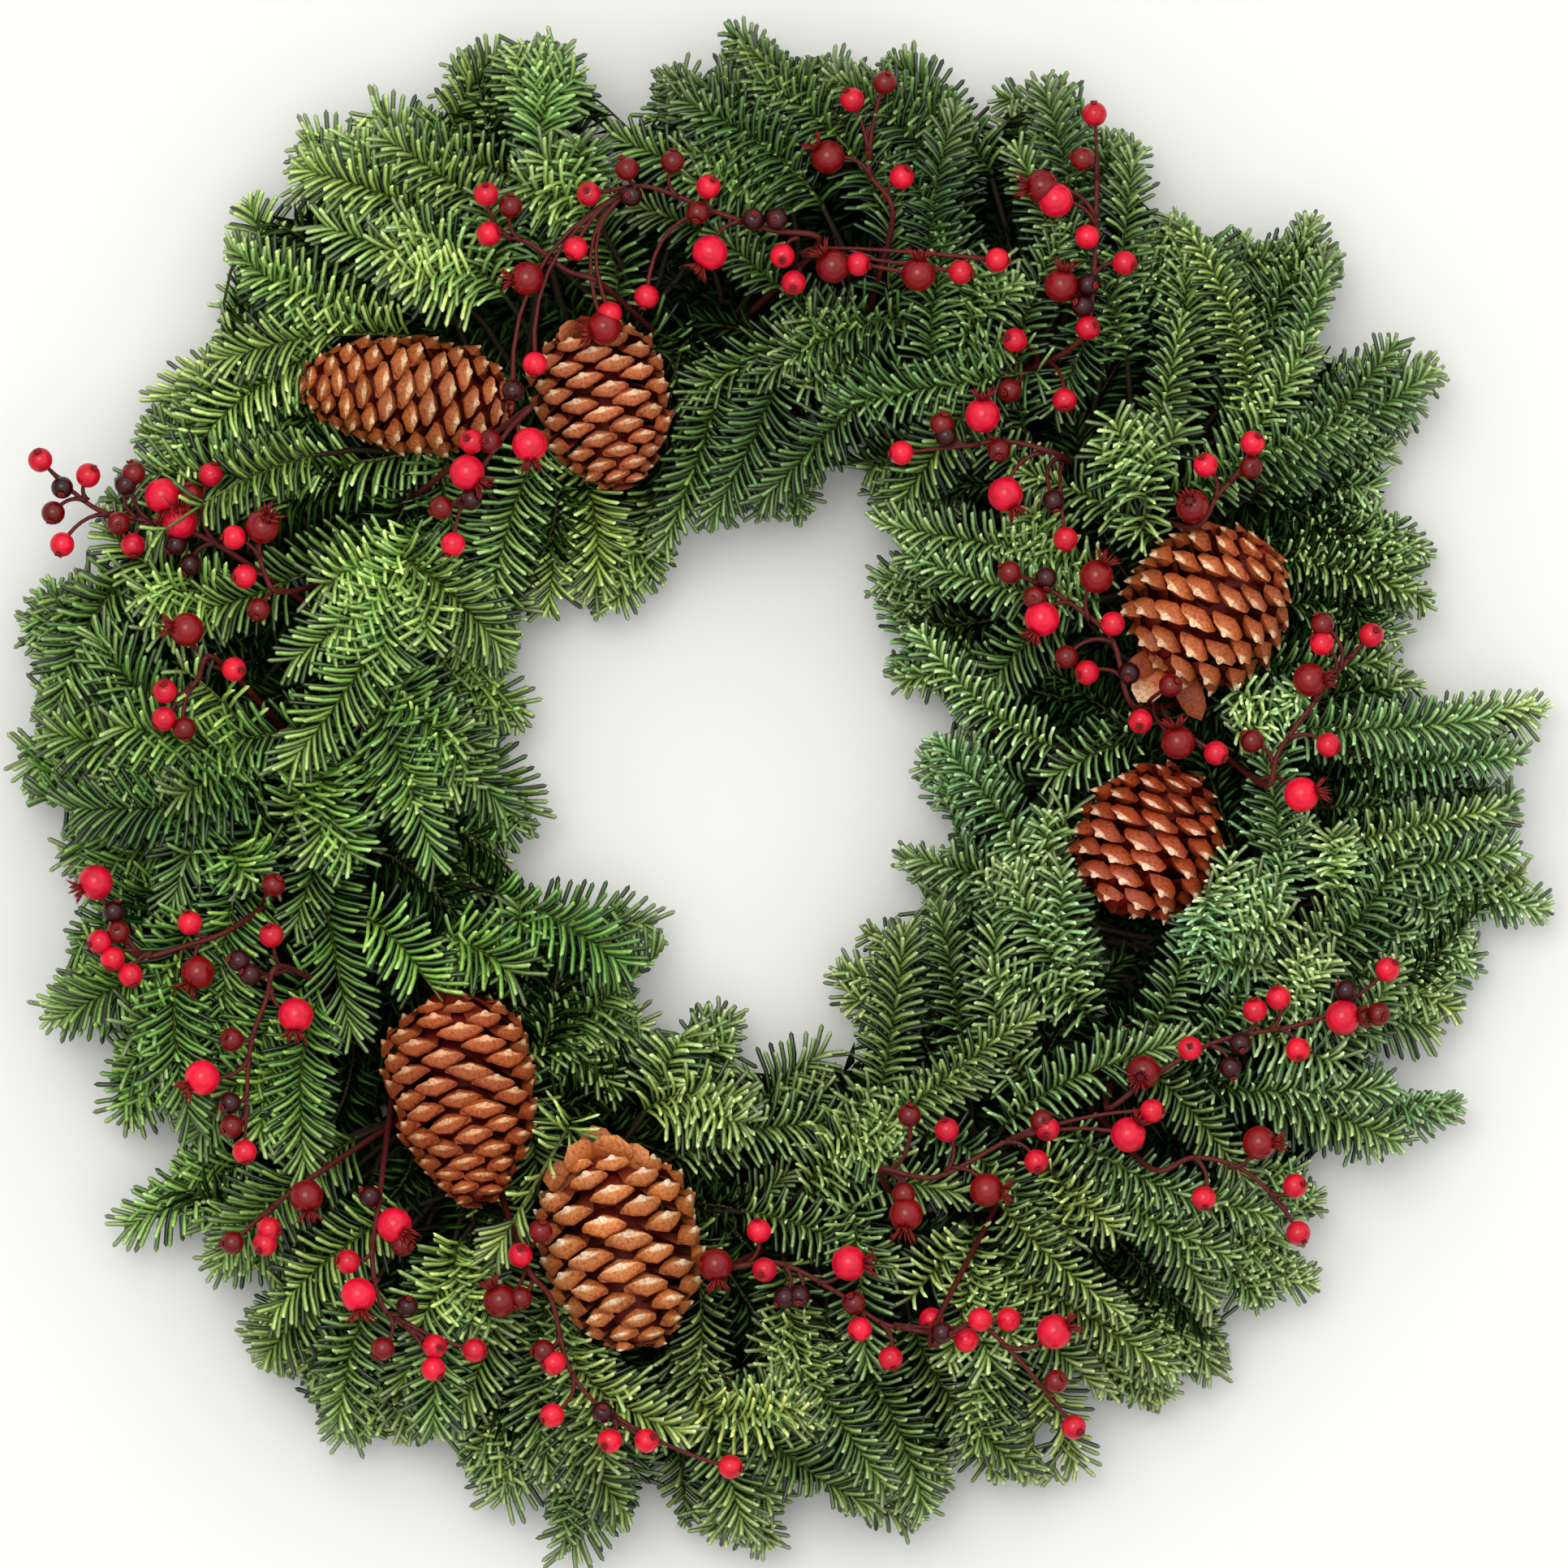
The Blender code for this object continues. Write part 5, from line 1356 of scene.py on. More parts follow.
def hides_berry(points, centre, radius, chance):
    """True for needles in a berry, and for most of those in front of it."""
    apart = points - centre
    inside = np.linalg.norm(apart, axis=2) < radius + BERRY_CLEAR
    over = (level_distance(apart) < radius + BERRY_SHOWN) & (apart[:, :, 2] > -0.3 * radius)
    return inside.any(axis=1) | (over.any(axis=1) & (chance < BERRY_CLEARED))


def hides_stem(points, start, end, chance):
    """True for most of the needles in front of a stretch of a stem."""
    run = end[:2] - start[:2]
    share = np.clip((points[:, :, :2] - start[:2]) @ run / max(run @ run, 1e-9), 0, 1)
    apart = points - (start + share[:, :, None] * (end - start))
    over = (level_distance(apart) < STEM_SHOWN) & (apart[:, :, 2] > -STEM_SHOWN)
    return over.any(axis=1) & (chance < STEM_CLEARED)


def hides_cone(points, base, axis, length, radius, peak, chance):
    """True for needles in a cone, and for nearly all of those in front of it."""
    apart = points - base
    part = apart @ axis / length
    off = apart - (part * length)[:, :, None] * axis
    reach = cone_radius(part, radius, peak) + SCALE_RISE
    beside = (part > -0.04) & (part < 1.06)
    inside = beside & (np.linalg.norm(off, axis=2) < reach * CONE_CLEAR)
    over = beside & (level_distance(off) < reach * CONE_SHOWN) & (off[:, :, 2] > 0)
    return inside.any(axis=1) | (over.any(axis=1) & (chance < CONE_CLEARED))


def hidden_by(points, obstacles):
    """True for needles that would stand in a cone or berry, or in front of one."""
    chance = RANDOM.random(len(points))
    gone = np.zeros(len(points), bool)
    for berry in obstacles.berries:
        gone |= hides_berry(points, *berry, chance)
    for stem in obstacles.stems:
        gone |= hides_stem(points, *stem, chance)
    for cone in obstacles.cones:
        gone |= hides_cone(points, *cone, chance)
    return gone


class Obstacles:
    """The cones, berries and stems that the fir leaves clear."""

    def __init__(self, sprays):
        self.berries = [(b.centre, BERRY_RADII[b.kind]) for spray in sprays for b in spray.berries]
        self.stems = []
        self.rods = Placed()
        for spray in sprays:
            self.stems += list(zip(spray.stem[1:-1], spray.stem[2:]))
            self.rods.add(spray.name, spray.stem, BERRY_STEM_RADIUS)
            for berry in spray.berries:
                self.rods.add(spray.name, berry.centre, BERRY_RADII[berry.kind])
        self.cones = []
        for cone in CONES:
            base, axis, length, radius = cone_axis(cone)
            self.cones.append((base, axis, length, radius, cone[3]))
            for low, high in CONE_STRETCHES:
                reach = float(cone_radius((low + high) / 2, radius, cone[3])) + SCALE_RISE / 2
                self.rods.add("cone", base + axis * np.array([[low], [high]]) * length, reach)

    def room_along(self, points, radius):
        return self.rods.room_along(points, radius)


def needle_places(roots, first, last, size, shares):
    """Points and directions along needles that start along first and soon turn to run along last.

    At share s of the needle the direction is last plus (1 - s) cubed times first less last, and the place is
    the root plus the needle's length times the sum of that direction up to there."""
    share = shares[None, :, None]
    change = (first - last)[:, None]
    ways = last[:, None] + (1 - share) ** 3 * change
    run = share * last[:, None] + (1 - (1 - share) ** 4) / 4 * change
    return roots[:, None] + size[:, None, None] * run, ways


def needle_skins(roots, first, last, flat_side, size, width, cuts):
    """Needles: a three-sided section on each needle's line, with two edges on the flat side and a ridge."""
    middles, ways = needle_places(roots, first, last, size, cuts)
    wide = unit(np.cross(unit(ways), flat_side[:, None]))
    ridge = unit(np.cross(wide, ways))
    half = (width / 2)[:, None, None]
    left = middles + wide * half - ridge * NEEDLE_THICKNESS * 0.3
    right = middles - wide * half - ridge * NEEDLE_THICKNESS * 0.3
    top = middles + ridge * NEEDLE_THICKNESS * 0.7
    rings = np.stack([left, right, top], axis=2)
    tips, _ = needle_places(roots, first, last, size, np.array([1.0]))
    return lofts(roots, rings, tips[:, 0])


def add_shoots(shape, group, fine, obstacles):
    """The needles and twigs of some shoots. Those that have lost most of their needles are left out."""
    grown = [shoot_needles(shoot) for shoot in group]
    owners = np.repeat(np.arange(len(group)), [len(needles[0]) for needles in grown])
    roots, first, last, flat_side, size, colours, width = (np.concatenate(part) for part in zip(*grown))
    noted = np.array([shoot.noted for shoot in group])
    line, _ = needle_places(roots, first, last, size, TESTED_AT)
    kept = ~hidden_by(line, obstacles) & (line[:, :, 2].min(axis=1) > LOWEST_POINT)
    near, far, ends = (within_edges(line[:, place, :2]) for place in range(3))
    fits = np.where(ends, 1, np.where(far, CUT_AT_SECOND, CUT_AT_FIRST))
    kept &= np.where(noted[owners], within_edges(roots), near)
    if not fine:
        kept &= near_edge(line[:, 2, :2]) == 0
    share_kept = np.bincount(owners, kept) / np.bincount(owners)
    full = share_kept > np.where(noted, LEAST_OF_NOTED, LEAST_NEEDLES[fine])
    kept &= full[owners]
    size = size * np.where(noted[owners], np.where(near, 1, SHORTENED), fits)
    cuts = FINE_CUTS if fine else PLAIN_CUTS
    chosen = (part[kept] for part in (roots, first, last, flat_side, size, width))
    skin = needle_skins(*chosen, cuts)
    marks = ring_marks(colours[kept], np.array([0, *cuts, 1]), 3)
    shape.add(skin, marks, NEEDLE if fine else SHADED_DEEP_NEEDLE)
    for index in np.flatnonzero(full):
        add_twig(shape, group[index])


def fir_piece(index, shoots, obstacles, finishes):
    """One bunch: its cut stems in the clamp, its twigs and all their needles."""
    shape = Shape()
    for fine in (True, False):
        group = [shoot for shoot in shoots if SHOOT_KINDS[shoot.kind].fine == fine]
        if group:
            add_shoots(shape, group, fine, obstacles)
    add_cut_stems(shape, index)
    put_in_place(shape.piece(f"{bunch_name(index)}_dressed", finishes), bunch_name(index))


def add_twig(shape, shoot):
    """A shoot's twig: brown and bare up to its first needles, then thin and green to its bud, the green
    darkened by the shoot's painted shade.
    """
    length = path_length(shoot.path)
    kind = SHOOT_KINDS[shoot.kind]
    sides = 4 if kind.fine else 3
    # The twig's green takes the shoot's painted shade, darker on deep shoots
    depth_shaded_green = TWIG_GREEN * min(0.2 + kind.shade, 1)
    if shoot.bare > FORK_BARE:
        rows = along(shoot.path, np.linspace(0, shoot.bare + 0.003, 4))
        radii = np.linspace(TWIG_ROOT_RADIUS, TWIG_TIP_RADIUS, 4)
        shape.add_tube(rows, radii, 4, (TWIG_BROWN, TWIG_BROWN), finish=BARK)
    steps = np.linspace(shoot.bare, length, 25)
    inside = within_edges(along(shoot.path, steps)[:, :2])
    last = steps[max(int(np.flatnonzero(inside).max(initial=0)), 3)]
    rows = along(shoot.path, np.linspace(shoot.bare, last, SHOOT_ROWS))
    radii = np.linspace(TWIG_TIP_RADIUS, TWIG_TIP_RADIUS * TWIG_BUD_SHARE, SHOOT_ROWS)
    shape.add_tube(rows, radii, sides, (TWIG_BROWN + depth_shaded_green / 2, depth_shaded_green), finish=BARK)


def add_cut_stems(shape, index):
    """Seven cut stems packed in the bundle, six round one, each trimmed a little at both ends."""
    start, end = bundle_line(index)
    way = unit(end - start)
    side = unit(np.cross(way, [0, 0, 1.0]))
    stem_radius = BUNDLE_RADIUS / 3
    for number in range(7):
        turn = number * math.pi / 3
        out = 0 if number == 6 else 2 * stem_radius
        shift = out * (math.cos(turn) * side + np.array([0, 0, math.sin(turn)]))
        trim = RANDOM.uniform(0, 0.006, 2)
        ends = np.array([start + shift + way * trim[0], end + shift - way * trim[1]])
        line = ends[0] + (ends[1] - ends[0]) * np.linspace(0, 1, 6)[:, None]
        radius = stem_radius * RANDOM.uniform(0.85, 1.0)
        shape.add_tube(line, radius, 8, (TWIG_BROWN * 0.8, TWIG_BROWN), finish=BARK)


# Cones

# Each cone's own look: how many scales it has, the colours of its inside, scale edges, faces and bosses, how
# rough they are, how far the scales are open, how high their keels and bosses stand, how wide they are, and
# which way their spiral turns. The inside and edge colours are dark red: partly the scales' own colour, partly
# painted shade in the gaps between the scales
ConeLook = namedtuple("ConeLook", "scales inside edge face boss roughness open keel umbo wide hand")
CONE_LOOKS = [
    ConeLook(104, (0.16, 0.011, 0.004), (0.26, 0.054, 0.012), (0.35, 0.128, 0.038), (0.58, 0.38, 0.22),
             0.55, 0.25, 0.15, 1.0, 1.0, 1),
    ConeLook(92, (0.17, 0.012, 0.005), (0.26, 0.052, 0.014), (0.41, 0.155, 0.066), (0.62, 0.39, 0.24),
             0.60, 0.70, 0.14, 0.9, 1.05, 1),
    ConeLook(90, (0.17, 0.009, 0.003), (0.24, 0.050, 0.012), (0.38, 0.122, 0.040), (0.66, 0.44, 0.27),
             0.50, 0.60, 0.22, 1.3, 1.0, -1),
    ConeLook(82, (0.16, 0.007, 0.003), (0.19, 0.029, 0.009), (0.325, 0.074, 0.028), (0.72, 0.46, 0.31),
             0.36, 0.70, 0.22, 1.3, 1.05, 1),
    ConeLook(108, (0.14, 0.008, 0.003), (0.25, 0.050, 0.012), (0.33, 0.095, 0.027), (0.60, 0.33, 0.17),
             0.55, 0.45, 0.11, 0.9, 1.10, 1),
    ConeLook(86, (0.18, 0.018, 0.008), (0.28, 0.078, 0.022), (0.48, 0.205, 0.068), (0.68, 0.50, 0.34),
             0.55, 0.45, 0.16, 0.9, 0.98, 1),
]
SCALE_COLUMNS = 8
# What the finish reads as the share at the root of a scale, at each of its rows, and at its boss
SCALE_SHARES = np.array([0.0, 0.0, 0.28, 0.38, 0.50, 0.58, 0.74, 0.90, 0.97, 1.0])
SCALE_CREASE = math.radians(28)
# Scales that stand out from the base of a cone: the place and height of the end, its width, how light it
# is, and its share at the end, which says how pale its colour gets
LOOSE_SCALES = {
    2: [((1402, 866), 0.062, 0.0150, 1.25, 0.99), ((1480, 888), 0.060, 0.0120, 0.80, 0.62),
        ((1388, 832), 0.066, 0.0110, 0.90, 0.62)],
    5: [((700, 1412), 0.070, 0.0160, 0.95, 0.72), ((762, 1398), 0.074, 0.0180, 1.00, 0.76),
        ((668, 1452), 0.062, 0.0150, 0.90, 0.70), ((800, 1418), 0.070, 0.0150, 1.00, 0.74),
        ((730, 1386), 0.060, 0.0150, 0.80, 0.70)],
    1: [((690, 404), 0.070, 0.0120, 0.85, 0.72), ((752, 396), 0.066, 0.0120, 0.88, 0.72)],
}
LOOSE_SCALE_ROWS = 9
LOOSE_SCALE_COLUMNS = 10
LOOSE_SCALE_BOW = 0.004
LOOSE_SCALE_HALF_THICKNESS = 0.0009
# How far past the cone's base, as a share of its length, scales close in over it
BASE_CLOSE = 0.06
# How far a scale's face turns from straight out toward the tip, in radians, by its place along the cone
SCALE_SPLAY = ((-0.05, -1.3), (0, -0.85), (0.12, -0.45), (0.5, -0.18), (0.85, 0.20), (1, 0.85))


def scale_size(body):
    """How large scales are where the cone's radius is this share of the widest."""
    return 0.42 + 0.58 * body


def scale_body(t, radius, peak):
    """The radius at which scales end. Before the base, at t under 0, it closes in over the flat base."""
    return cone_radius(t, radius, peak) * np.sqrt(np.clip((t + BASE_CLOSE) / BASE_CLOSE, 0.05, 1))


def scale_places(count, peak):
    """Where each scale ends along the cone, so that each has room in keeping with its size."""
    t = np.linspace(-BASE_CLOSE, 1, 400)
    body = scale_body(t, 1.0, peak)
    share = np.cumsum(np.maximum(body, 0.05) / scale_size(body) ** 2)
    wanted = (np.arange(count) + 0.5) / count * share[-1]
    return np.interp(wanted, share, t)


def scale_rows(look):
    """The rows round a scale, from its root in the core to its boss.

    Each is its share of the way from the core, its width, its height, how far it is raised the way that the
    scale faces and moved across, and its power: 1.5 for a rhomb and 1 for a round boss."""
    keel = look.keel
    return [
        (0.00, 0.30, 0.20, 0.00, 0.00, 1.5), (0.55, 0.60, 0.20, 0.00, 0.12, 1.5),
        (0.88, 0.94, 0.34, 0.00, 0.30, 1.5), (1.00, 1.00, 1.00, -0.04, 0.00, 1.5),
        (1.00, 0.97, 0.94, 0.02, 0.00, 1.5), (1.00, 0.76, 0.32, keel, -0.05, 1.5),
        (1.00, 0.26, 0.28, keel + 0.02, -0.08, 1.0),
        (1.00, 0.16, 0.17, keel + 0.02 + 0.06 * look.umbo, -0.10 - 0.03 * look.umbo, 1.0),
    ]


def cone_scale_skins(base, axis, length, radius, peak, look):
    """Scales on a golden-angle spiral. Each is a thin plate from the core that ends in a keeled rhomb.

    A row round a scale is half its width times a power of the cosine, by half its height times the same power
    of the sine. The rows run from the core to the rim, then over the face to the keel, which lies across the
    scale, and up to the boss in its middle."""
    count = look.scales
    t = scale_places(count, peak) + RANDOM.normal(0, 0.004, count)
    turn = np.arange(count) * GOLDEN_ANGLE * look.hand + RANDOM.normal(0, 0.03, count)
    side, upward = across_axis(axis)
    out = np.cos(turn)[:, None] * side + np.sin(turn)[:, None] * upward
    round_way = -np.sin(turn)[:, None] * side + np.cos(turn)[:, None] * upward
    body = scale_body(t, radius, peak)
    size = scale_size(body / radius)
    area = 2 * math.pi * radius * length * 0.80 / count
    width = math.sqrt(area * 3.2) * size * look.wide * RANDOM.uniform(0.94, 1.06, count)
    height = math.sqrt(area / 0.95) * size * (0.98 - 0.18 * look.open) * RANDOM.uniform(0.93, 1.07, count)
    splay = np.interp(t, *zip(*SCALE_SPLAY))
    splay = splay - 0.35 * look.open * (1 - t) + RANDOM.normal(0, 0.06, count)
    facing = np.cos(splay)[:, None] * out + np.sin(splay)[:, None] * axis
    stand = SCALE_RISE * (0.20 + RANDOM.uniform(-0.25, 0.35, count) + 0.25 * look.open * (1 - t))
    ends = base + axis * (t * length)[:, None] + out * (body + stand)[:, None]
    core = base + axis * (t * length - body * 0.55 * (1 - t))[:, None] + out * (0.30 * body)[:, None]
    lift = np.cross(facing, round_way)
    lift = lift * np.sign((lift * axis).sum(axis=1))[:, None]
    roll = RANDOM.normal(0, 0.08, count)[:, None]
    wide = round_way * np.cos(roll) + lift * np.sin(roll)
    high = lift * np.cos(roll) - round_way * np.sin(roll)
    angle = 2 * math.pi * np.arange(SCALE_COLUMNS) / SCALE_COLUMNS
    rings = []
    for way, broad, tall, raised, moved, power in scale_rows(look):
        x, y = (np.sign(wave) * np.abs(wave) ** power for wave in (np.cos(angle), np.sin(angle)))
        middle = core + (ends - core) * way
        middle = middle + facing * (raised * width)[:, None] + high * (moved * height)[:, None]
        ring = middle[:, None]
        ring = ring + wide[:, None] * (x[None] * (width * broad / 2)[:, None])[:, :, None]
        ring = ring + high[:, None] * (y[None] * (height * tall / 2)[:, None])[:, :, None]
        rings.append(ring)
    rings = np.stack(rings, axis=1)
    rise = look.keel + 0.02 + 0.10 * look.umbo
    tips = ends + facing * (rise * width)[:, None] - high * ((0.11 + 0.06 * look.umbo) * height)[:, None]
    tones = np.repeat(RANDOM.uniform(0.82, 1.15, count)[:, None], 3, axis=1)
    return lofts(core, rings, tips), ring_marks(tones, SCALE_SHARES, SCALE_COLUMNS)


def add_loose_scales(shape, index, base, axis):
    """Broad scales that stand away from a cone's base: an oval section carried along a bowed line.

    Its half width is half the scale's width times a sine, to the power 0.6. The sine's angle is pi times 0.06
    and 0.90 of the share of the way to the power 1.5, so that the scale is widest past its middle."""
    for (x, y), z, width, tone, share in LOOSE_SCALES.get(index, ()):
        end = at((x, y), z)
        start = base + axis * 0.004
        u = np.linspace(0, 1, LOOSE_SCALE_ROWS)[:, None]
        line = start + (end - start) * u + np.array([0, 0, LOOSE_SCALE_BOW]) * np.sin(np.pi * u)
        way = unit(np.gradient(line, axis=0))
        flat = unit(np.cross(way, [0, 0, 1.0]))
        ridge = np.cross(flat, way)
        half = width / 2 * np.sin(np.pi * (0.06 + 0.90 * u[1:-1, 0] ** 1.5)) ** 0.6
        turns = 2 * math.pi * np.arange(LOOSE_SCALE_COLUMNS) / LOOSE_SCALE_COLUMNS
        ring = line[1:-1, None] + np.cos(turns)[None, :, None] * flat[1:-1, None] * half[:, None, None]
        ring = ring + np.sin(turns)[None, :, None] * ridge[1:-1, None] * LOOSE_SCALE_HALF_THICKNESS
        skin = lofts(line[:1], ring[None], line[-1:])
        shares = np.linspace(0.38, share, LOOSE_SCALE_ROWS)
        marks = ring_marks(np.full((1, 3), tone), shares, LOOSE_SCALE_COLUMNS)
        shape.add(skin, marks)


def cone_core(base, axis, length, radius, peak):
    """The cone's core: a turned body at half its radius."""
    t = np.linspace(0.02, 0.96, 12)
    middles = base + axis * (t * length)[:, None]
    reach = np.maximum(0.50 * cone_radius(t, radius, peak), 0.0012)
    rings = tube_rings(middles, reach, 16)
    return lofts((base - axis * 0.001)[None], rings[None], (base + axis * length * 0.985)[None])


def cone_piece(index, cone, scale_skin):
    """One pine cone with its core and the stub of its stalk."""
    base, axis, length, radius = cone_axis(cone)
    look = CONE_LOOKS[index]
    shape = Shape()
    shape.add(*cone_scale_skins(base, axis, length, radius, cone[3], look))
    add_loose_scales(shape, index, base, axis)
    core = cone_core(base, axis, length, radius, cone[3])
    # The core takes the dark inside colour: painted shade deep between the scales
    shape.add(core, np.tile([1.0, 1.0, 1.0, 0.15], (len(core[0]), 1)))
    stub = np.array([base + axis * STUB_LENGTH / 2, base, base - axis * STUB_LENGTH])
    radii = STUB_RADIUS * np.array([1.1, 1, 0.85])
    shape.add_tube(stub, radii, 10, ((1, 1, 1), (1, 1, 1)), (0.4, 0.4))
    node = f"pine_cone_{index + 1}"
    put_in_place(shape.piece(f"{node}_dressed", [scale_skin], crease=SCALE_CREASE), node)


# Berries

# Which finish of a berry spray a face has
SKIN, STEM = range(2)
BERRY_COLOURS = {
    "B": (0.64, 0.004, 0.028), "D": (0.18, 0.002, 0.004), "s": (0.58, 0.004, 0.022),
    "d": (0.14, 0.002, 0.003), "v": (0.032, 0.002, 0.003),
}
STEM_COLOUR = np.array([0.055, 0.008, 0.006])
STEM_TIP_COLOUR = np.array([0.095, 0.010, 0.009])
CROWN_COLOUR = np.array([0.18, 0.011, 0.011])
BERRY_ROWS = 11
BERRY_COLUMNS = 18
CROWN_SEPALS = 14
CROWN_LENGTH = 0.0062
SEPAL_WIDTH = 0.0012
SEPAL_CUTS = np.array([0.12, 0.6])
# Large berries are wider than this, and the others have only the stubs of sepals, this long
LARGE_BERRY = 0.007
STUB_SEPAL_LENGTH = 0.0016
# A stalk's radius along its way as shares of the usual one: wide at the stem, thin, and wider at the berry
STALK_RADII = STALK_RADIUS * np.array([2.2, 1.55, 1.25, 1.15, 1.1, 1.1, 1.2, 1.5])
STEM_POINTS = 200
# The longest way, in metres, that a stalk leaves the stem before its berry
STALK_LEAD = 0.014
# Where the crowns of large berries point, in degrees from the right, by the berry's place
CROWN_WAYS = {
    (650, 345): 185, (1026, 330): 130, (1131, 340): 85, (1020, 195): 135, (1300, 248): 140, (1307, 353): 80,
    (1210, 513): 90, (1350, 711): 60, (1450, 915): 100, (1612, 838): 5, (1602, 979): 15, (1653, 1253): 5,
    (1389, 1397): 50, (1215, 1465): -5, (1550, 1407): 0, (882, 1557): 275, (1046, 1555): 0,
    (1298, 1639): 25, (617, 1601): 120, (443, 1594): 275, (379, 1473): 280, (366, 1250): 265,
    (251, 1327): 215, (119, 1087): 205, (245, 1198): 235, (200, 611): 285, (232, 776): 170,
    (654, 550): 275, (577, 584): 320, (745, 405): 200, (1238, 610): 300, (1283, 763): 240,
}


def across_crowns(crowns):
    """Two directions square to each crown's way."""
    reference = np.where(np.abs(crowns[:, 2:3]) < 0.9, [[0, 0, 1.0]], [[1.0, 0, 0]])
    side = unit(np.cross(crowns, reference))
    return side, np.cross(crowns, side)


def berry_skins(centres, radii, crowns):
    """Balls with dimples: the radius times one less a narrow bell at each pole, deeper at the crown."""
    polar = np.pi * (np.arange(BERRY_ROWS) + 1) / (BERRY_ROWS + 1)
    turn = 2 * math.pi * np.arange(BERRY_COLUMNS) / BERRY_COLUMNS
    side, other = across_crowns(crowns)
    from_crown = np.pi - polar
    dip = 1 - 0.14 * np.exp(-((from_crown / 0.30) ** 2)) - 0.05 * np.exp(-((polar / 0.3) ** 2))
    reach = radii[:, None] * dip[None]
    height = -np.cos(polar) * reach
    spread = np.sin(polar) * reach
    circle = np.cos(turn)[None, :, None] * side[:, None] + np.sin(turn)[None, :, None] * other[:, None]
    rings = centres[:, None, None] + crowns[:, None, None] * height[:, :, None, None]
    rings = rings + circle[:, None] * spread[:, :, None, None]
    first = centres - crowns * radii[:, None] * 0.95
    last = centres + crowns * radii[:, None] * 0.85
    return lofts(first, rings, last)


def crown_skins(centres, radii, crowns, sizes):
    """Crowns: pointed sepals that stand in a ring round the pole and flare outward, three-sided."""
    count = len(centres)
    side, other = across_crowns(crowns)
    turn = 2 * math.pi * np.arange(CROWN_SEPALS) / CROWN_SEPALS
    turn = turn[None] + RANDOM.normal(0, 0.12, (count, CROWN_SEPALS))
    out = np.cos(turn)[:, :, None] * side[:, None] + np.sin(turn)[:, :, None] * other[:, None]
    first = unit(crowns[:, None] + out * 0.45)
    last = first + out * RANDOM.uniform(-0.1, 0.8, (count, CROWN_SEPALS))[:, :, None]
    roots = centres[:, None] + crowns[:, None] * (radii * 0.86)[:, None, None]
    roots = (roots + out * (sizes * 0.30)[:, None, None]).reshape(-1, 3)
    first = first.reshape(-1, 3)
    last = last.reshape(-1, 3)
    flat_side = unit(np.repeat(crowns, CROWN_SEPALS, axis=0) - out.reshape(-1, 3) * 0.3)
    size = np.repeat(sizes, CROWN_SEPALS) * RANDOM.uniform(0.75, 1.15, len(roots))
    wide = np.full(len(roots), SEPAL_WIDTH)
    return needle_skins(roots, first, last, flat_side, size, wide, SEPAL_CUTS)


def stalk_line(spray, berry):
    """A stalk's line: it leaves the stem a little nearer the root, and bows toward the berry.

    It is the curve of the second degree that starts along the stem and ends at the berry's middle."""
    stem = spray.stem
    foot = berry.foot
    apart = float(np.linalg.norm(berry.centre - foot))
    travelled = np.append(0, np.cumsum(np.linalg.norm(np.diff(stem, axis=0), axis=1)))
    fine = along(stem, np.linspace(0, travelled[-1], STEM_POINTS))
    nearest = int(np.linalg.norm(fine - foot, axis=1).argmin())
    back = int(min(0.55 * apart, STALK_LEAD) / travelled[-1] * STEM_POINTS)
    start = fine[max(nearest - back, 0)]
    way = unit(fine[min(nearest + 1, STEM_POINTS - 1)] - fine[max(nearest - 1, 0)])
    bow = start + way * 0.45 * apart + (berry.centre - start) * 0.25
    u = np.linspace(0, 1, len(STALK_RADII))[:, None]
    return (1 - u) ** 2 * start + 2 * u * (1 - u) * bow + u**2 * berry.centre


def crown_way(berry, stalk):
    """Which way a berry's crown points: on from its stalk, or as the photograph shows it."""
    way = unit(berry.centre - stalk[-3] + RANDOM.normal(0, 0.0015, 3) + np.array([0, 0, 0.001]))
    if berry.pixel in CROWN_WAYS:
        turn = math.radians(CROWN_WAYS[berry.pixel])
        way = unit(np.array([math.cos(turn), math.sin(turn), 0.25]))
    return way


def berry_piece(spray, finishes):
    """One berry spray: its stem, a bowed stalk to each berry, and berries with their crowns."""
    shape = Shape()
    line = smooth_line(spray.stem, 6)
    radii = np.linspace(1.45, 0.85, len(line)) * BERRY_STEM_RADIUS
    shape.add_tube(line, radii, 7, (STEM_COLOUR, STEM_TIP_COLOUR), finish=STEM)
    crowns = []
    for berry in spray.berries:
        stalk = stalk_line(spray, berry)
        shape.add_tube(stalk, STALK_RADII, 6, (STEM_COLOUR, STEM_TIP_COLOUR), finish=STEM)
        crowns.append(crown_way(berry, stalk))
    centres = np.array([berry.centre for berry in spray.berries])
    radii = np.array([BERRY_RADII[berry.kind] for berry in spray.berries])
    crowns = np.array(crowns)
    tones = np.array([BERRY_COLOURS[berry.kind] for berry in spray.berries])
    tones = tones * RANDOM.uniform(0.8, 1.15, len(tones))[:, None]
    share = (np.arange(BERRY_ROWS) + 1) / (BERRY_ROWS + 1)
    marks = ring_marks(tones, np.array([0.0, *share, 1.0]), BERRY_COLUMNS)
    shape.add(berry_skins(centres, radii, crowns), marks, SKIN)
    sizes = np.where(radii > LARGE_BERRY, CROWN_LENGTH, STUB_SEPAL_LENGTH)
    crown = crown_skins(centres, radii, crowns, sizes)
    shape.add(crown, np.tile([*CROWN_COLOUR, 0.5], (len(crown[0]), 1)), STEM)
    put_in_place(shape.piece(f"{spray.name}_dressed", finishes), spray.name)


# Wire

WIRE_GREEN = np.array([0.035, 0.075, 0.040])
WIRE_MARKS = (WIRE_GREEN, WIRE_GREEN)
RAIL_POINTS = 145
WIRE_SIDES = 8
BEND_POINTS = 5


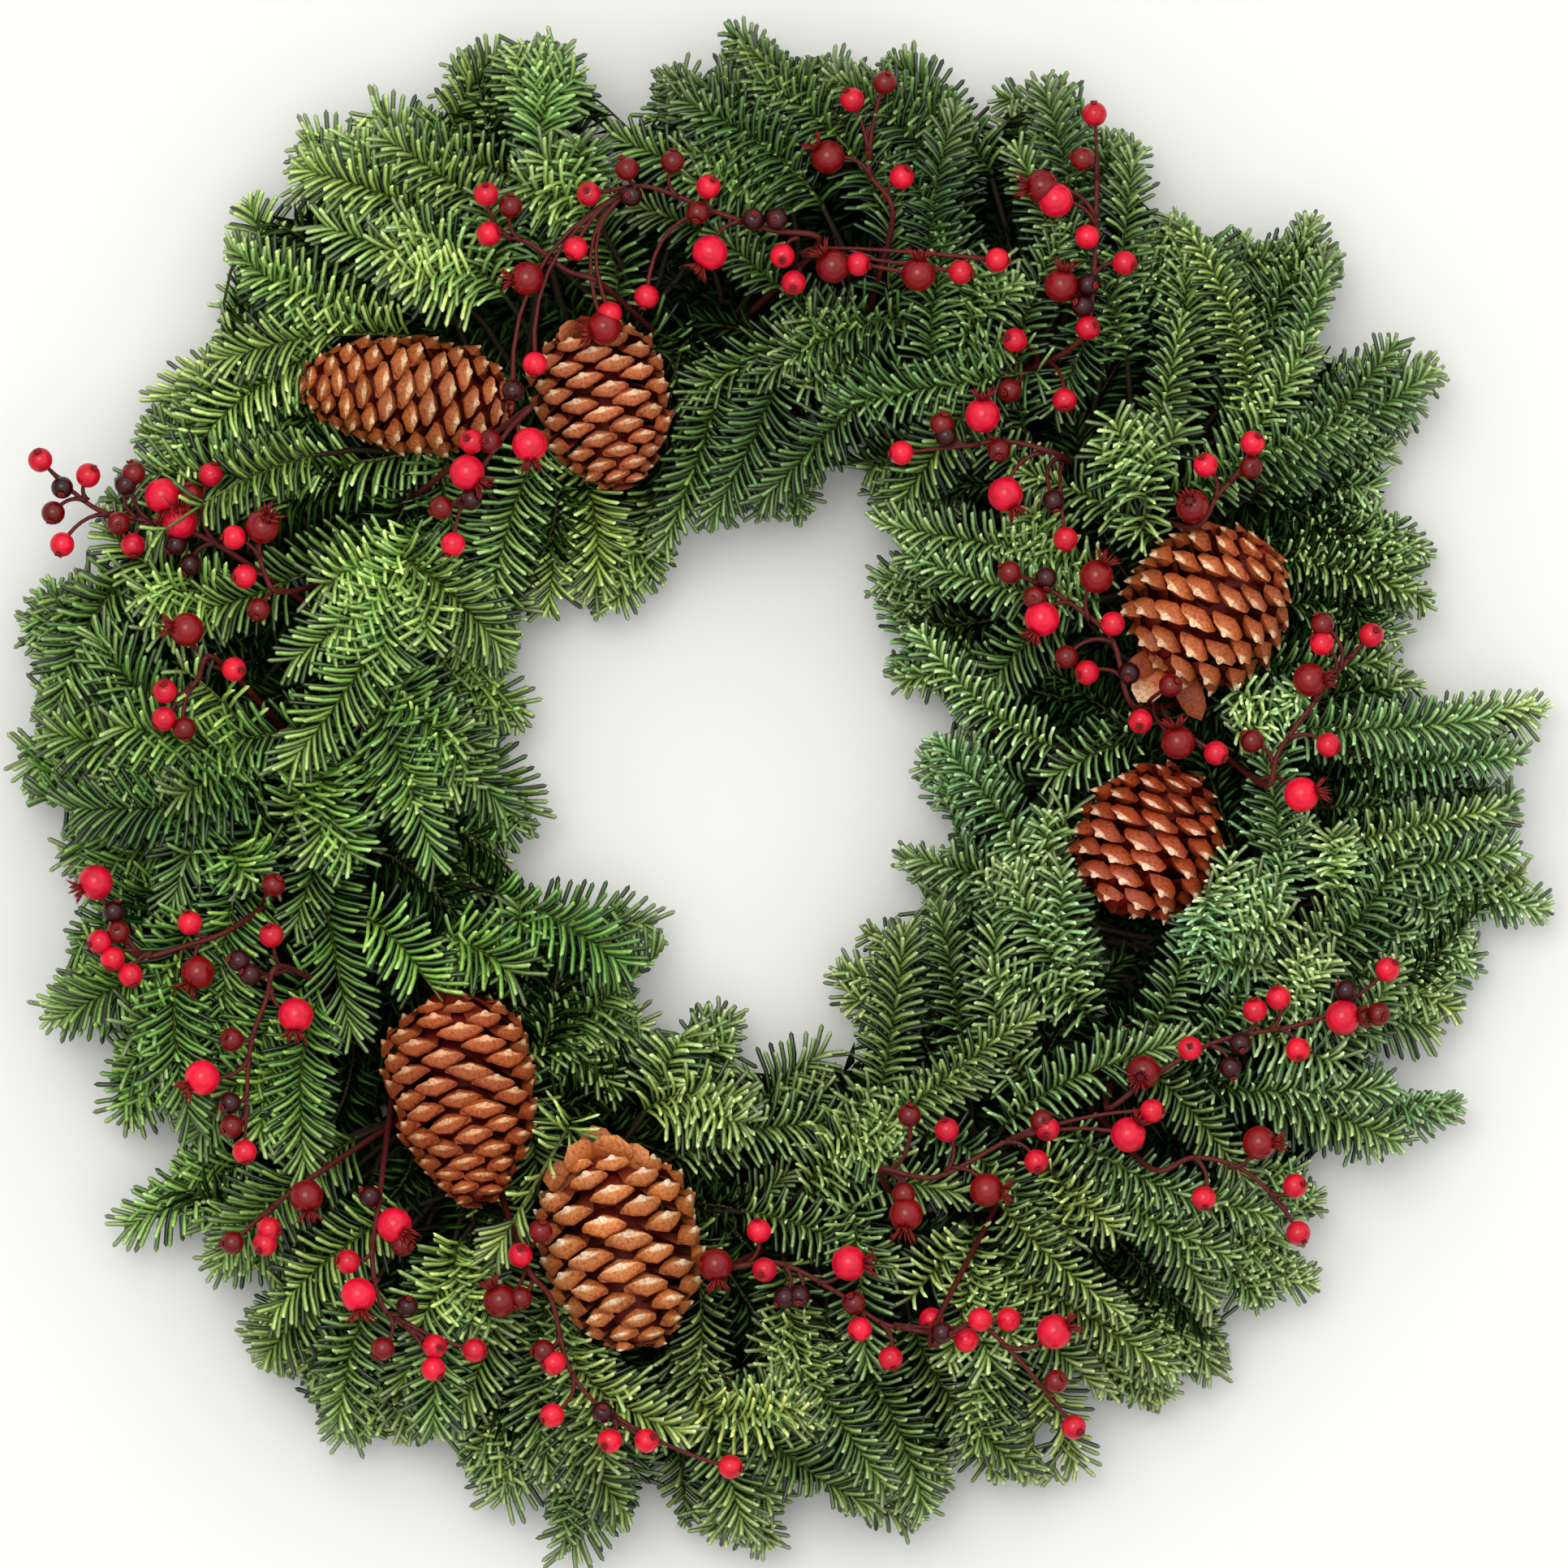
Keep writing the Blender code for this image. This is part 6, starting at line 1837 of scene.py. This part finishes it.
def frame_piece(finish_used):
    """Two round rails and a clamp across them for each bunch."""
    shape = Shape()
    turns = np.linspace(0, 2 * math.pi, RAIL_POINTS)
    for offset in (-RAIL_OFFSET, RAIL_OFFSET):
        radius = RING_RADIUS + offset
        level = np.full(RAIL_POINTS, RAIL_RADIUS)
        rail = np.stack([radius * np.cos(turns), radius * np.sin(turns), level], axis=1)
        shape.add_tube(rail, RAIL_RADIUS * 0.97, 10, WIRE_MARKS)
    for index in range(BUNCHES):
        route = smooth_line(clamp_route(bunch_angle(index)), BEND_POINTS)
        shape.add_tube(route, CLAMP_WIRE, WIRE_SIDES, WIRE_MARKS)
    put_in_place(shape.piece("wire_frame_dressed", [finish_used]), "wire_frame")


def cone_wire_piece(index, cone, finish_used):
    """The wire of a cone, its leg and its loop round the stub."""
    shape = Shape()
    route = smooth_line(cone_wire_route(cone), BEND_POINTS)
    shape.add_tube(route, CONE_WIRE, WIRE_SIDES, WIRE_MARKS)
    node = f"cone_wire_{index + 1}"
    put_in_place(shape.piece(f"{node}_dressed", [finish_used]), node)


# Camera, floor and light

CAMERA_HEIGHT = 12.0
VIEWED_HEIGHT = 0.05
FLOOR_SIZE = 14.0
FLOOR_Z = -0.0004
# Lamps of the studio: name, how wide they seem, strength, and the way that their light goes
LAMPS = [
    ("day", math.radians(110), 2.15, (-0.14, -0.34, -1.28)),
    ("glint", math.radians(30), 1.2, (0.14, -0.26, -1.0)),
]
LAMP_COLOUR = (1.0, 0.985, 0.95)
SKY_COLOUR = (0.92, 0.96, 1.0, 1)
SKY_STRENGTH = 0.70
FLOOR_COLOUR = (0.615, 0.61, 0.59, 1)


def set_stage():
    """A pale floor, a wide soft light from above, a small one for the shine on berries, and an even sky."""
    bpy.ops.mesh.primitive_plane_add(size=FLOOR_SIZE, location=(0, 0, FLOOR_Z))
    floor = bpy.context.object
    floor.name = "floor"
    made = bpy.data.materials.new("pale_floor")
    made.use_nodes = True
    shader = made.node_tree.nodes["Principled BSDF"]
    shader.inputs["Base Color"].default_value = FLOOR_COLOUR
    shader.inputs["Roughness"].default_value = 0.9
    floor.data.materials.append(made)
    for name, width, strength, way in LAMPS:
        lamp = bpy.data.lights.new(name, "SUN")
        lamp.angle = width
        lamp.energy = strength
        lamp.color = LAMP_COLOUR
        light = bpy.data.objects.new(name, lamp)
        light.rotation_mode = "QUATERNION"
        light.rotation_quaternion = look_along(way)
        bpy.context.scene.collection.objects.link(light)
    world = bpy.data.worlds.new("sky")
    bpy.context.scene.world = world
    world.use_nodes = True
    sky = world.node_tree.nodes["Background"]
    sky.inputs["Color"].default_value = SKY_COLOUR
    sky.inputs["Strength"].default_value = SKY_STRENGTH
    bpy.context.scene.view_settings.view_transform = "Standard"


def look_along(direction):
    """The turn that points a lamp along a direction."""
    return Vector(direction).to_track_quat("-Z", "Y")


def set_camera():
    """Straight above the middle of the photograph, from so far that heights hardly shift in the view."""
    lens = bpy.data.cameras.new("camera")
    camera = bpy.data.objects.new("camera", lens)
    bpy.context.scene.collection.objects.link(camera)
    middle = at((PHOTO_PX / 2, PHOTO_PX / 2), 0) + TO_MODEL
    camera.location = (middle[0], middle[1], CAMERA_HEIGHT)
    shown = PHOTO_PX * METRES_PER_PX
    lens.lens = lens.sensor_width * (CAMERA_HEIGHT - VIEWED_HEIGHT) / shown
    lens.clip_end = 2 * CAMERA_HEIGHT
    bpy.context.scene.camera = camera


def without_fir(sprays):
    """What is in place before the fir: the hard pieces and the berry sprays."""
    hard = Placed()
    place_hard_pieces(hard)
    for spray in sprays:
        hard.add(spray.name, spray.stem, BERRY_STEM_RADIUS)
        for berry in spray.berries:
            hard.add(spray.name, berry.centre, BERRY_RADII[berry.kind])
    return hard


def lay_out():
    """The berry sprays, what the fir leaves clear, and the shoots of the solids and then of each level."""
    placed = Placed()
    place_hard_pieces(placed)
    sprays = place_berry_sprays(placed)
    noted = noted_shoots(placed)
    place_more_berries(sprays, without_fir(sprays))
    obstacles = Obstacles(sprays)
    shoots = noted + side_shoots(noted, obstacles) + edge_shoots(obstacles)
    for level in LEVELS:
        shoots += fill_shoots(level, obstacles)
    return sprays, obstacles, shoots + closing_shoots()


def main():
    set_camera()
    set_stage()
    sprays, obstacles, shoots = lay_out()
    # The third finish is a shaded copy of the needle finish, with hardly any shine, for the deep needles
    fir = [needle_finish("fir_needle", 0.38, 0.5), bark_finish(), needle_finish("fir_needle_deep", 0.8, 0.03)]
    for index in range(BUNCHES):
        fir_piece(index, [shoot for shoot in shoots if shoot.bunch == index], obstacles, fir)
    for index, cone in enumerate(CONES):
        cone_piece(index, cone, scale_finish(index))
    berry_finishes = [berry_finish(), stem_finish()]
    for spray in sprays:
        berry_piece(spray, berry_finishes)
    frame_piece(wire_finish("frame_wire_green", 0.4))
    wire = wire_finish("florist_wire_green", 0.4)
    for index, cone in enumerate(CONES):
        cone_wire_piece(index, cone, wire)


main()
